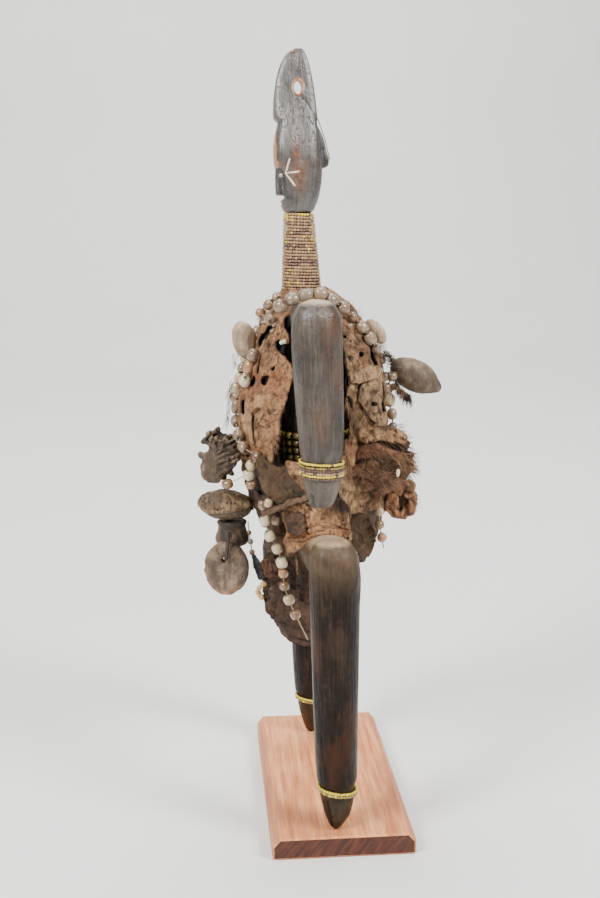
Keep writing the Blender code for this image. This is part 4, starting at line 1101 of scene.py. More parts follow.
def limb_bead_rows():
    chance = random.Random(5)
    for side, word, shift in SIDES:
        heap = Heap()
        for row, tint in enumerate((DARK_BEAD, YELLOW, TAN_BEAD, DARK_BEAD, OLIVE, YELLOW)):
            height = 225.4 + row * 1.62 + (0.5 if row == 5 else 0.0)
            limb_bead_row(heap, ARM, FIGURE_X + side * ARM_SPREAD, 0.0, height, 0.0010, 0.00170,
                          lambda turn, tint=tint: varied(tint if chance.random() < 0.86 else DARK_BEAD, chance),
                          chance, 0.0006)
        heap.piece(f"bracelet_rows_{word}", SEED_GLASS, "yellow_beads", (f"bracelet_{word}",))
        heap = Heap()
        for row, tint in enumerate((OLIVE, YELLOW)):

            def tint_of(turn, tint=tint, row=row):
                bright = row == 1 or turn > 0.8 or turn < 0.3 and chance.random() < 0.4
                return varied(YELLOW if bright else tint, chance)

            limb_bead_row(heap, LEG, FIGURE_X + side * LEG_SPREAD, shift, 25.8 + row * 1.75, 0.00115, 0.00185,
                          tint_of, chance, 0.0016)
        heap.piece(f"anklet_rows_{word}", SEED_GLASS, "yellow_beads", (f"anklet_{word}",))
    heap = Heap()
    for row in range(5):
        height = 221.5 + row * 4.6
        bead_row(heap, place(0, body_middle(height), height), 0.0236, 1.0, 0.0046,
                 lambda turn: varied(SHADED_WAIST_YELLOW, chance, 0.45), chance, sides=8)
    heap.piece("waist_bead_rows", SEED_GLASS, "yellow_beads", ("waist_beads",))


figure()
neck_beads()
limb_bead_rows()

# The wrapped body: height, front, back and half width

WRAP = (
    (150.0, -30.0, 22.0, 25.0), (155.7, -36.0, 26.0, 30.0), (180.7, -49.0, 35.0, 40.0), (214.7, -56.5, 38.5, 45.5),
    (241.3, -59.0, 37.5, 47.0), (260.7, -58.0, 36.5, 46.5), (276.9, -53.5, 35.0, 45.0), (299.2, -47.0, 28.5, 40.0),
    (313.1, -39.5, 20.0, 34.0), (324.3, -32.5, 10.6, 24.0), (330.5, -29.5, 0.5, 18.0), (334.0, -28.0, -6.0, 14.0),
)
WRAP_SQUARENESS = 2.3
WRAP_GIRTH = 0.047


BODY_SIDE_X = 0.045


def wrap_row(height):
    return (body_middle(height), *look_up(WRAP, height))


def on_wrap(angle, height, lift=0.0, row=None):
    """The wrapped body's surface at an angle from the front, toward the left side."""
    middle, front, back, half = row or wrap_row(height)
    turn = math.radians(angle)
    side, ahead = math.sin(turn), math.cos(turn)
    power = 2 / WRAP_SQUARENESS
    reach = (middle - front if ahead > 0 else back - middle) * MM + lift
    depth = -math.copysign(abs(ahead) ** power, ahead) * reach
    out = math.copysign(abs(side) ** power, side) * (half * MM + lift)
    return Vector((FIGURE_X + out, middle * MM + depth, level(height)))


def wrap_tree():
    points, faces = [], []
    columns, heights = 90, [150 + 3 * step for step in range(62)]
    for height in heights:
        row = wrap_row(height)
        points.extend(on_wrap(360 * column / columns, height, 0.0, row) for column in range(columns))
    for row in range(len(heights) - 1):
        for column in range(columns):
            after = (column + 1) % columns
            faces.append((row * columns + column, row * columns + after, (row + 1) * columns + after,
                          (row + 1) * columns + column))
    return BVHTree.FromPolygons(points, faces)


WRAP_TREE = wrap_tree()


def touched(px, py, lift):
    """The point on this picture point's line of sight that rests on the wrapped body, lifted off its surface."""
    ray = sight(px, py)
    hit, _, _, away = WRAP_TREE.ray_cast(CAMERA_SPOT, ray)
    if hit is None:
        reach = (BODY_SIDE_X - CAMERA_SPOT.x) / ray.x
        options = [CAMERA_SPOT + ray * (reach + step * MM) for step in range(60)]
        return min(options, key=lambda spot: WRAP_TREE.find_nearest(spot)[3])
    spot = hit
    for _ in range(24):
        gap = WRAP_TREE.find_nearest(spot)[3]
        if gap >= lift * 0.97:
            break
        spot = spot - ray * max((lift - gap) * 0.6, 0.0001)
    return spot


def hide_relief(point, seed, strength=1.0):
    """Folds, lumps and creases of dried hide: how far out, in millimetres, and how much painted shade darkens its
    creases, pits and low places.
    """
    folds = rough(Vector((point.x, point.y, point.z * 0.6)), 42, seed, 2)
    lumps = rough(point, 135, seed + 3, 3)
    crumbs = rough(point, 430, seed + 7, 3)
    crease = abs(rough(point, 75, seed + 11, 2))
    crease = 1 - smooth_between(crease, 0.0, 0.10)
    pit = smooth_between(rough(point, 210, seed + 17, 2), 0.34, 0.62)
    out = (1.7 * folds + 1.25 * lumps + 0.55 * crumbs - 0.9 * crease - 1.3 * pit) * strength
    shade = 0.34 * crease + 0.62 * pit + 0.30 * smooth_between(-lumps - 0.6 * crumbs, 0.15, 0.7)
    return out, shade


def trimmed(shape, passes=2):
    """Evens the stepped rim that is left where faces were dropped."""
    for _ in range(passes):
        moves = {}
        for edge in shape.edges:
            if len(edge.link_faces) == 1:
                for vert, other in ((edge.verts[0], edge.verts[1]), (edge.verts[1], edge.verts[0])):
                    moves.setdefault(vert, []).append(other.co)
        spots = {vert: vert.co * 0.4 + sum(others, Vector()) / len(others) * 0.6
                 for vert, others in moves.items()}
        for vert, spot in spots.items():
            vert.co = spot


BODY_HEART = Vector((FIGURE_X, -0.01, 0.25))


def torn_sheet(name, grid, shades, pales, thickness, material, nodes):
    """A sheet from a grid of points with None where it is torn away, given thickness behind."""
    shape = bmesh.new()
    layers = {word: shape.verts.layers.float.new(word) for word in ("shade", "pale")}
    made = {}
    for i, line in enumerate(grid):
        for j, point in enumerate(line):
            if point is not None:
                vert = shape.verts.new(point)
                vert[layers["shade"]] = min(shades[i][j], 0.95)
                vert[layers["pale"]] = min(max(pales[i][j], 0.0), 0.9)
                made[i, j] = vert
    for i in range(len(grid) - 1):
        for j in range(len(grid[0]) - 1):
            corners = [made.get(spot) for spot in ((i, j), (i + 1, j), (i + 1, j + 1), (i, j + 1))]
            present = [vert for vert in corners if vert is not None]
            if len(present) >= 3:
                shape.faces.new(present)
    loose = [vert for vert in shape.verts if not vert.link_faces]
    bmesh.ops.delete(shape, geom=loose, context="VERTS")
    bmesh.ops.recalc_face_normals(shape, faces=shape.faces)
    outward = sum(face.normal.dot(face.calc_center_median() - BODY_HEART) > 0 for face in shape.faces)
    if outward * 2 < len(shape.faces):
        bmesh.ops.reverse_faces(shape, faces=shape.faces)
    trimmed(shape)
    mesh = bpy.data.meshes.new(name)
    shape.to_mesh(mesh)
    shape.free()
    piece = show(name, mesh, material, nodes)
    solid = piece.modifiers.new("thickness", "SOLIDIFY")
    solid.thickness = thickness
    solid.offset = -1
    return piece


HOLE_REACH = 12.0


def hole_distance(px, py, holes):
    """Picture distance outside the nearest hole, negative inside it, capped at HOLE_REACH."""
    best = HOLE_REACH
    for outline, (low_x, low_y, high_x, high_y) in holes:
        if low_x - best < px < high_x + best and low_y - best < py < high_y + best:
            away = edge_distance(outline, px, py)
            best = min(best, -away if inside(outline, px, py) else away)
    return best


def boxed(outlines):
    """Each outline with the box round it."""
    return [(outline, (min(x for x, _ in outline), min(y for _, y in outline),
                       max(x for x, _ in outline), max(y for _, y in outline))) for outline in outlines]


def wrap_sheet(name, angles, lower, upper, lift, holes, seed, material, nodes, spacing=0.0013,
               thickness=0.0013, strength=1.0, ragged=1.6):
    """A torn hide round the body; holes and torn-off places are picture outlines, seen on its near side."""
    columns = round(math.radians(angles[1] - angles[0]) * WRAP_GIRTH / spacing)
    heights = np.arange(lower, upper, spacing / MM)
    rows = [wrap_row(height) for height in heights]
    holes = boxed(holes)
    grid, shades, pales = [], [], []
    for column in range(columns + 1):
        angle = angles[0] + (angles[1] - angles[0]) * column / columns
        side_edge = min(angle - angles[0], angles[1] - angle) * 0.82
        line, shade_line, pale_line = [], [], []
        for height, row in zip(heights, rows):
            base = on_wrap(angle, height, lift, row)
            tear = ragged * rough(base, 130, seed + 5, 3)
            hem = min(height - lower, upper - height)
            away = min(side_edge, hem) + tear - 0.6
            if base.x > 0.012 and holes:
                px, py = pixel_of(base)
                away = min(away, hole_distance(px, py, holes) / 1.6 + tear * 0.28)
            if away <= 0:
                line.append(None)
                shade_line.append(0.0)
                pale_line.append(0.0)
                continue
            outward = (on_wrap(angle, height, lift + 0.002, row) - base).normalized()
            out, shade = hide_relief(base, seed, strength)
            rim = math.exp(-away / 0.9)
            curl = rim * (0.6 + 1.3 * rough(base, 60, seed + 9, 2))
            line.append(base + outward * ((out + curl) * MM))
            # Painted shade, deepened along the torn edges.
            shade_line.append(shade + 0.30 * math.exp(-away / 0.5))
            pale_line.append(0.28 * smooth_between(out, 0.5, 2.2) + 0.35 * rim * smooth_between(curl, 0.5, 1.4))
        grid.append(line)
        shades.append(shade_line)
        pales.append(pale_line)
    return torn_sheet(name, grid, shades, pales, thickness, material, nodes)


def patch(name, outline, spot, material, nodes=(), spacing=1.0, thickness=0.0011, strength=0.6, seed=1.0,
          ragged=0.9, holes=(), bow=0.0, edge_shade=0.25):
    """A torn piece of hide whose outline is drawn on the picture; spot puts each picture point in the world."""
    xs = np.arange(min(x for x, _ in outline) - 2, max(x for x, _ in outline) + 2, spacing)
    ys = np.arange(min(y for _, y in outline) - 2, max(y for _, y in outline) + 2, spacing)
    holes = boxed(holes)
    widest = max(xs[-1] - xs[0], 1.0)
    grid, shades, pales = [], [], []
    for px in xs:
        line, shade_line, pale_line = [], [], []
        for py in ys:
            base = spot(px, py)
            away = edge_distance(outline, px, py) * (1 if inside(outline, px, py) else -1)
            away += ragged * rough(base, 260, seed + 5, 2)
            away = min(away, hole_distance(px, py, holes))
            if away <= 0:
                line.append(None)
                shade_line.append(0.0)
                pale_line.append(0.0)
                continue
            out, shade = hide_relief(base, seed, strength)
            out += bow * math.sin(math.pi * min(max((px - xs[0]) / widest, 0), 1))
            line.append(base + X_AXIS * (out * MM))
            # Painted shade, deepened along the torn edges.
            shade_line.append(shade + edge_shade * math.exp(-away / 1.2))
            pale_line.append(0.25 * smooth_between(out, 0.2, 1.2))
        grid.append(line)
        shades.append(shade_line)
        pales.append(pale_line)
    return torn_sheet(name, grid, shades, pales, thickness, material, nodes)


def upright_at(x):
    """Puts picture points on the upright plane at this X."""
    return lambda px, py: seen(px, py, x)


def laid_at(lift):
    """Puts picture points on the wrapped body, lifted off it."""
    return lambda px, py: touched(px, py, lift)


# Torn-off places as outlines on the picture
ARM_GAP = [(284, 317), (290, 315), (294, 345), (298, 365), (302, 400), (305, 470), (296, 472), (284, 470),
           (275, 468), (275, 450), (277.5, 438), (282, 431), (279, 424), (281, 414), (286, 407), (287, 397),
           (290, 388), (294, 376), (292, 364), (284, 355), (277, 349), (274.5, 342), (278, 339), (285, 346),
           (289, 341), (288, 332), (284, 327)]
FRONT_HOLES = [
    ARM_GAP,
    [(263, 337), (263.5, 330), (267, 326), (273, 324), (274, 328), (270, 334), (266, 339)],
    [(257.5, 347), (258, 339), (261, 334), (263.5, 337), (261, 346)],
    [(260, 381), (262, 377), (267, 375.5), (268, 380), (265, 385), (262, 384)],
    [(255.5, 376), (257, 366), (260, 356), (261, 350), (263, 354), (260, 364), (258, 374)],
    [(250, 387), (251, 378), (254, 374), (254.5, 381), (252, 387)],
    [(241, 413), (241, 402), (244, 399), (244.5, 408), (243, 414)],
    [(250, 440), (250, 418), (252.5, 412), (253.5, 425), (252, 441)],
    [(268, 370), (271, 367), (275, 367), (275, 369), (271, 371)],
    [(277, 357), (279, 355), (280, 358), (278, 360)],
    [(253, 330), (256, 322), (258.5, 320), (257, 327), (255, 335)],
    [(247, 462), (247, 458), (251, 457), (251.5, 462)],
    [(243, 456), (250, 455.5), (257, 455.5), (264, 454), (267, 456.5), (268.5, 464), (271, 468), (274, 464),
     (276, 452), (320, 450), (320, 660), (180, 660), (180, 488), (236, 484), (243, 478)],
]
BACK_HOLES = [
    [(335, 340), (342, 342), (343.5, 352), (345, 364), (347.5, 381), (347, 388), (344.5, 396), (343, 420),
     (344, 452), (335, 452)],
    [(341.5, 335.5), (344, 334), (347.5, 336.8), (344, 336.9)],
    [(358, 354), (360, 352), (363.5, 353), (361, 356.5)],
    [(361, 335), (363.5, 333), (371, 343.5), (369.5, 347), (363.5, 342.5)],
    [(367.5, 348), (371.5, 348), (377, 358), (379.5, 366), (375.5, 367), (371.5, 360)],
    [(379.5, 381), (382.5, 382), (384.5, 395), (386.5, 411), (382.5, 411), (381, 398)],
    [(371, 402), (377.5, 402.5), (377, 405.5), (370.5, 406)],
    [(357, 388), (359, 383), (363.5, 377), (365.5, 379), (361.5, 386), (359, 392)],
    [(346, 397), (349, 394), (351.5, 402), (352.5, 415), (353.5, 428), (351, 440), (346, 440)],
    [(349, 341), (351, 339.5), (352.5, 341.5), (350.5, 342.5)],
]


ROLL_SPOTS = ((262, 514), (272, 510.5), (283, 506.5), (294, 502), (303, 499.5), (309, 496.5))


def hides():
    wrap_sheet("front_hide", (-75, 80), 186.0, 333.0, 0.0, FRONT_HOLES, 3.0, HIDE, ("hide_front",))
    wrap_sheet("back_hide", (98, 258), 192.0, 333.0, 0.0, BACK_HOLES, 8.0, BACK_HIDE, ("hide_back",))
    # Near-black sheets under the hides: painted shade for the inside of the wrap, seen through the holes.
    wrap_sheet("front_shadow_sheet", (-72, 60), 184.0, 322.0, -0.0042, [], 23.0, SHADOW_SHEET_HIDE, (), 0.0022,
               0.0010, 0.8)
    wrap_sheet("back_shadow_sheet", (112, 252), 186.0, 322.0, -0.0042, [], 29.0, SHADOW_SHEET_HIDE, (), 0.0022,
               0.0010, 0.8)
    wrap_sheet("back_lower_hide", (126, 234), 154.0, 200.0, -0.0015, [], 12.0, DARK_HIDE,
               ("hide_back_lower",), 0.0016, 0.0013, 0.9)
    wrap_sheet("front_lower_hide", (-66, 50), 178.0, 206.0, -0.0030, [], 14.0, DARK_HIDE, (), 0.0018,
               0.0012, 0.9)
    wrap_sheet("apron_right", (241, 308), 184.0, 214.0, -0.0055, [], 17.0, HIDE, ("hide_apron_right",),
               0.0015, 0.0012, 0.7)
    patch("apron_left", [(281, 513), (292, 506), (310, 502), (330, 500), (349, 500), (352, 512), (350, 524),
                         (353, 534), (351, 541), (344, 537.5), (335, 534.5), (325, 534), (316, 535.5), (311, 541),
                         (304, 548), (296, 552), (287, 553), (284, 544), (286, 532), (283, 520)],
          upright_at(0.0535), HIDE, ("hide_apron_left",), 0.9, 0.0013, 0.85, 31.0, 1.0)
    patch("apron_square", [(284, 515), (298, 511), (305, 515), (306, 530), (300, 536), (287, 533)],
          upright_at(0.0560), DARK_HIDE, (), 0.9, 0.0010, 0.4, 33.0, 0.6)
    patch("apron_hem", [(286, 540), (297, 541), (305, 538), (311, 533), (318, 529), (330, 527), (342, 529),
                        (352, 533), (352, 541), (344, 538.5), (335, 535.5), (325, 535), (316, 536.5),
                        (310, 543), (303, 549), (294, 553), (286, 552)],
          upright_at(0.0566), HIDE, (), 0.8, 0.0010, 0.8, 35.0, 1.1, bow=0.6)
    patch("strap_flap", [(255, 458), (262, 455), (269, 462), (277, 466), (286, 465), (291, 478), (300, 486),
                         (305, 494), (303, 501), (290, 503), (278, 504), (268, 497), (261, 488), (257, 474)],
          upright_at(0.0535), SMOOTH_HIDE, ("hide_strap",), 0.9, 0.0012, 0.45, 37.0, 0.4, bow=1.6)
    patch("strap_backing", [(285, 460), (302, 462), (306, 500), (292, 500), (286, 480)], upright_at(0.0490),
          HIDE, (), 1.0, 0.0010, 0.8, 39.0, 1.0)
    patch("dark_strip", [(346, 486), (352, 484), (362, 482), (373, 487), (372, 500), (368, 512), (370, 522),
                         (377, 533), (375, 545), (369, 557), (362, 557), (353, 549), (350, 536), (348.5, 520),
                         (347, 505)],
          upright_at(0.0440), SMOOTH_HIDE, (), 0.9, 0.0014, 0.7, 41.0, 0.5, bow=2.0)
    patch("tatter", [(268, 552), (274, 553), (282, 560), (292, 556), (301, 560), (302, 585), (298, 600), (291, 605),
                     (285, 597), (281, 601), (277, 612), (273, 619), (268, 613), (264, 601), (262, 588),
                     (263.5, 578), (261, 571), (257.5, 565), (263, 560)],
          upright_at(0.0265), DARK_HIDE, ("hide_tatter",), 0.8, 0.0012, 1.1, 43.0, 1.2,
          holes=[[(268, 589), (274, 585), (280, 590), (277, 598), (270, 601)],
                 [(290, 566), (297, 564), (297, 590), (291, 590)]])
    patch("tatter_fold", [(262, 560), (270, 555), (277, 559), (283, 566), (284, 577), (276, 580), (266, 577),
                          (263, 570)], upright_at(0.0288), RED_HIDE, (), 0.8, 0.0010, 1.0, 45.0, 0.9)
    patch("grey_strip", [(251.5, 556), (255.5, 554), (259, 560), (264, 568), (264, 580), (258, 580),
                         (254.5, 570)], upright_at(0.0250), GREY_HIDE, (), 0.7, 0.0010, 0.3, 71.0,
          0.2, edge_shade=0.4)
    patch("hip_tatter", [(268, 506), (312, 503), (312, 602), (305, 608), (292, 592), (286, 575), (277, 548),
                         (270, 528)],
          upright_at(0.0120), DARK_HIDE, (), 1.2, 0.0012, 1.0, 47.0, 1.0)
    patch("thin_tail", [(292.5, 552), (298, 552), (298.5, 574), (297, 577), (295.5, 563)], upright_at(0.0500),
          HIDE, (), 0.6, 0.0009, 0.3, 49.0, 0.3)
    patch("folded_edge", [(244.5, 411), (248, 409), (251, 413), (251, 428), (254, 444), (253, 447), (249, 440),
                          (246, 428)],
          laid_at(0.0022), BACK_HIDE, (), 0.7, 0.0012, 0.4, 51.0, 0.4, bow=0.8)
    patch("cross_strap", [(349, 374), (358, 371), (366, 366), (374, 364), (380, 366), (382.5, 371), (381, 376),
                          (377, 379), (371, 380), (360, 384), (351, 383)],
          laid_at(0.0024), BACK_HIDE, (), 0.8, 0.0012, 0.6, 53.0, 0.5, bow=0.6)
    patch("upright_strap", [(361, 384), (372, 381), (380, 381), (381, 395), (383, 412), (378, 424), (369, 418),
                            (364, 408), (358, 400)],
          laid_at(0.0018), BACK_HIDE, (), 0.8, 0.0012, 0.6, 55.0, 0.5,
          holes=[[(371, 402), (377.5, 402.5), (377, 405.5), (370.5, 406)]], bow=0.6)
    patch("low_strap", [(357, 428), (368, 425), (384, 430), (398, 428), (408, 434), (406, 444), (394, 443),
                        (380, 441), (366, 444), (358, 440)],
          upright_at(0.0570), BACK_HIDE, (), 0.9, 0.0012, 0.9, 57.0, 1.0, bow=0.8)
    heap = Heap()
    chance = random.Random(3)
    twist = smooth_route([seen(px, py, 0.0565) for px, py in ROLL_SPOTS], 0.0010)
    count = len(twist)
    radii = [0.0014 * (0.55 + 0.45 * math.sin(math.pi * (index + 1) / (count + 1))) for index in range(count)]
    for strand in range(3):
        turns = [index * 0.20 + strand * 2.094 for index in range(count)]
        route = [point + Vector((math.cos(turn), 0, math.sin(turn))) * 0.00085
                 for point, turn in zip(twist, turns)]
        add_tube(heap, route, radii, 10, varied((0.125, 0.064, 0.030), chance), 0.9)
    heap.piece("hide_roll", FIBRE, "hide", ("hide_twist",))


# Strung beads over the shoulders: picture point, radius and half length in millimetres, tint, how far out

NEAR_STRAND = (
    (268.5, 304.5, 3.2, 3.8, "dusty", 0.022), (260.5, 312.5, 3.0, 3.4, "tan", 0.018),
    (277, 297, 3.3, 3.2, "pearl", 0.022), (270.5, 320, 3.6, 4.4, "pearl", 0.0),
    (280.5, 306.5, 4.3, 4.6, "pearl", 0.047), (292.5, 299, 4.2, 4.6, "grey", 0.047),
    (306, 295, 4.1, 5.0, "grey", 0.047), (320.5, 294, 4.3, 4.6, "pearl", 0.047),
    (332, 300, 3.9, 4.0, "grey", 0.047), (343, 308, 3.9, 4.2, "dusty", 0.044),
    (353, 317, 3.0, 3.4, "tan", 0.0), (362.5, 327, 3.7, 4.4, "pearl", 0.0), (370, 338.5, 3.8, 4.2, "pearl", 0.0),
    (376.5, 348.5, 3.2, 3.9, "pearl", 0.0), (381, 359, 3.3, 4.2, "dusty", 0.0), (385, 376.5, 3.2, 3.2, "grey", 0.0),
    (392, 376, 3.5, 3.4, "pearl", 0.0), (386.5, 388, 3.5, 3.4, "pearl", 0.0), (393, 387, 2.4, 2.4, "tan", 0.0),
    (388.8, 400, 4.2, 4.7, "cream", 0.0), (392, 414, 3.3, 3.9, "pearl", 0.0), (392.5, 427, 3.0, 3.4, "grey", 0.0),
    (253, 355, 3.6, 4.4, "pearl", 0.0), (248.5, 367.5, 3.2, 4.8, "peach", 0.0), (245, 381, 3.8, 4.0, "white", 0.0),
    (239, 394, 2.8, 3.8, "tan", 0.0), (236.5, 406.5, 3.5, 5.0, "dusty", 0.0), (236, 421, 3.6, 4.6, "pearl", 0.0),
    (238.5, 435, 3.9, 4.0, "pearl", 0.0), (243, 447, 3.5, 3.9, "dusty", 0.0), (257.5, 457, 3.4, 3.6, "brown", 0.0),
    (251, 465, 3.4, 3.4, "cream", 0.0), (248.5, 475, 3.8, 3.4, "white", 0.0), (251, 485, 3.2, 3.0, "tan", 0.0),
)
# The far strand: angle and height on the body, then points over the shoulder
STRAND_LIFT = 0.0036
STRAND_FRONT = ((20, 250.0), (17, 258.0), (15, 266.0), (13, 274.0), (16, 281.0), (20, 288.0), (24, 296.0),
                (31, 303.0), (40, 309.5))
STRAND_OVER = ((36.0, -28.4, 323.6), (38.0, -21.6, 329.0), (39.0, -15.0, 331.2), (38.0, -8.0, 330.2),
               (35.5, -1.2, 325.6))
STRAND_BACK = ((131, 314.0), (135, 306.5), (140, 298.0), (147, 290.0), (150, 283.0), (151, 276.0), (152, 268.0))


# The beads that each thread joins, by their place in NEAR_STRAND
THREAD_RUNS = (range(4, 22), range(22, 34), (0, 1, 3), (2, 0))


def strand_beads():
    heap, thread = Heap(), Heap()
    chance = random.Random(21)
    spots = [seen(px, py, x) if x else touched(px, py, radius * MM * 0.85)
             for px, py, radius, _, _, x in NEAR_STRAND]
    for run in THREAD_RUNS:
        route = smooth_route([spots[index] for index in run], 0.001)
        add_tube(thread, route, [0.0005] * len(route), 6, (0.30, 0.20, 0.125), 0.4)
    for index, (_, _, radius, half, tint, _) in enumerate(NEAR_STRAND):
        spot = spots[index]
        near = spots[min(index + 1, len(spots) - 1)]
        far = spots[max(index - 1, 0)]
        axis = near - far if (near - far).length < 0.04 else Vector((0, 0.5, 1))
        add_bead(heap, spot, axis, radius * MM, half * MM * 0.92, varied(TINTS[tint], chance, 0.12), 22, 0.10)
    loose = seen(227.5, 484, 0.030)
    add_bead(heap, loose, Vector((0.2, 1, 0.35)), 0.0034, 0.0034, TINTS["tan"], 22, 0.08)
    tie = smooth_route([loose, seen(236, 480, 0.033), seen(242, 477, 0.038), spots[32]], 0.001)
    add_tube(thread, tie, [0.00042] * len(tie), 6, (0.62, 0.47, 0.32), 0.4)
    add_bead(heap, seen(268.5, 503, 0.0560), Vector((0, 0.3, 1)), 0.0027, 0.0027, TINTS["cream"], 20, 0.08)
    add_bead(heap, seen(276, 520.5, 0.0500), Vector((0, 0.3, 1)), 0.0029, 0.0030, TINTS["dusty"], 20, 0.08)
    for px, py in ((281.5, 342.5), (284.5, 341.5)):
        add_bead(heap, touched(px, py, 0.001), Vector((0, 1, 0.3)), 0.0014, 0.0013, (0.72, 0.66, 0.48), 14, 0.1)
    add_bead(heap, seen(398, 473, 0.0600), Vector((0, 0.1, 1)), 0.0013, 0.0026, TINTS["white"], 14, 0.05,
             taper=0.5)
    for px, py in ((275, 325), (265, 322), (273, 331), (356, 322), (350, 326)):
        add_bead(heap, touched(px, py, 0.0008), Vector((0, 1, 0.6)), 0.0015, 0.0019,
                 varied(TINTS["tan"], chance), 14, 0.1)
    heap.piece("near_strand_beads", BEAD_GLASS, "large_beads", ("bead_strand_left",))
    thread.piece("strand_thread", FIBRE, "cord")
    heap = Heap()
    route = [on_wrap(-angle, height, STRAND_LIFT) for angle, height in STRAND_FRONT]
    route += [place(-out, y, height) for out, y, height in STRAND_OVER]
    route += [on_wrap(-angle, height, STRAND_LIFT) for angle, height in STRAND_BACK]
    even = smooth_route(route, 0.0035)
    for index in range(1, len(even) - 1, 2):
        tint = TINTS[chance.choice(("pearl", "pearl", "grey", "dusty", "cream", "tan"))]
        size = chance.uniform(0.0030, 0.0037)
        add_bead(heap, even[index], even[index + 1] - even[index - 1], size, size * 1.02,
                 varied(tint, chance, 0.1), 16, 0.1)
    heap.piece("far_strand_beads", BEAD_GLASS, "large_beads", ("bead_strand_right",))


# Charms


def ribbed_seed(node, seed, dark_side):
    """Fine upright ribs, with a rim toward one side (+1 or -1 along Y) that is darkened as painted shade and tinted
    as worn, and painted shade on its lower tip and in the ribs' grooves.
    """
    low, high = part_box(node)
    middle = (low + high) / 2

    def relief(point, normal):
        offset = point - middle
        turn = math.atan2(offset.x, offset.y)
        ribs = math.sin(turn * 11 + 0.8 * rough(point, 120, seed, 2))
        out = 0.12 * ribs + 0.18 * rough(point, 260, seed, 3)
        rim = smooth_between(offset.y * dark_side / (high.y - low.y), 0.16, 0.30)
        shade = 0.45 * rim + 0.15 * smooth_between(-ribs, 0.4, 1.0)
        worn = 0.35 * rim
        tip = smooth_between(-offset.z / (high.z - low.z), 0.36, 0.5)
        return out * MM, shade + 0.4 * tip, worn, 0.0
    return relief


def back_pod_relief(point, normal):
    lumps = rough(point, 130, 3.0, 3)
    reddish = blot(pixel_of(point), (403, 389), 5.0, 5.0)
    # Painted shade on the underside and in the low lumps.
    under = smooth_between(-normal.z, 0.25, 0.85)
    tip = smooth_between((point.y - 0.064) / 0.010, 0.0, 1.0)
    out = 0.45 * lumps + 0.14 * rough(point, 520, 3.0, 2) + 0.25 - 0.9 * tip * smooth_between(normal.z, 0.0, 0.7)
    return out * MM, 0.35 * under + 0.15 * smooth_between(-lumps, 0.2, 0.6), 0.5 * reddish, 0.0


def front_pod_relief(point, normal):
    """A pod like a shallow bowl: a pitted top, a sharp rim and a smooth underside, with painted shade in the pits,
    under the rim and over the underside.
    """
    middle_z = 0.2062 + (point.y + 0.0687) * 0.14
    lift = (point.z - middle_z) / MM
    cell = noise.voronoi(point * 430 + Vector((5.0, 0, 0)))[0][0]
    top = smooth_between(lift, -1.0, 0.6)
    pit = smooth_between(0.44 - cell, 0.0, 0.2) * smooth_between(rough(point, 90, 7.0, 2), -0.35, 0.2) * top
    lumps = rough(point, 150, 5.0, 3)
    rim = bump_at(lift, -0.6, 0.7)
    out = 0.45 * lumps + 0.15 * rough(point, 650, 5.0, 2) - 1.1 * pit + 0.75 * rim * (1 - abs(normal.z)) + 0.3
    shade = 0.72 * pit + 0.5 * bump_at(lift, -2.3, 0.7) + 0.52 * (1 - smooth_between(lift, -3.5, -1.2))
    return out * MM, min(shade, 0.85), 0.0, 0.0


def root_relief(point, normal):
    """Knots, pits and a coiled neck of dried root, with painted shade in the seams, the coil's grooves, the notch
    and the low lobes.
    """
    px, py = spot = pixel_of(point)
    top = blot(spot, (214, 436), 11, 9)
    smooth_patch = blot(spot, (214, 464), 10, 11)
    coiled = smooth_between(px, 215, 222) * (1 - smooth_between(py, 462, 474)) * (1 - top)
    distances = noise.voronoi(point * 190 + Vector((4.0, 0, 0)))[0]
    knot = 1 - smooth_between(distances[0], 0.0, 0.7)
    seam = 1 - smooth_between(distances[1] - distances[0], 0.0, 0.2)
    along = (px - 218) * 0.42 + (py - 440) * 0.90
    coil = math.sin(along * 1.25 + 1.3 * rough(point, 90, 3.0, 2))
    lobes = rough(point, 55, 12.0, 2)
    notch = blot(spot, (204, 448), 6, 3.5)
    knotty = top + 0.35 * (1 - coiled) * (1 - smooth_patch)
    out = (1.0 * knot - 0.9 * seam) * knotty + 0.55 * coil * coiled + 2.0 * lobes - 2.6 * notch
    out += (0.55 - 0.35 * smooth_patch) * rough(point, 300, 9.0, 3)
    shade = 0.75 * seam * knotty + 0.75 * coiled * smooth_between(-coil, 0.1, 0.9) + 0.5 * notch
    shade += 0.35 * smooth_between(-lobes, 0.15, 0.6)
    return (out - 0.2) * MM, min(shade, 0.92), 0.0, 0.25 * smooth_patch


def spool_relief(point, normal):
    streak = rough(Vector((point.x, point.y, point.z * 0.25)), 420, 3.0, 3)
    out = 0.3 * streak + 0.15 * rough(point, 800, 4.0) + 0.3 + 2.4 * smooth_between(normal.z, 0.4, 0.9)
    pale = 0.25 * smooth_between(-0.0705 - point.y, 0.0, 0.0025)
    # Painted shade on the underside.
    return out * MM, 0.35 * smooth_between(-normal.z, 0.0, 0.8), pale, 0.0


# Chips in the flat seed's rim: picture point and size
CHIPS = ((204, 576, 4.0), (209, 586, 4.5), (215, 592, 4.0), (226, 595, 3.4), (203, 566, 2.5), (235, 590, 3.0))


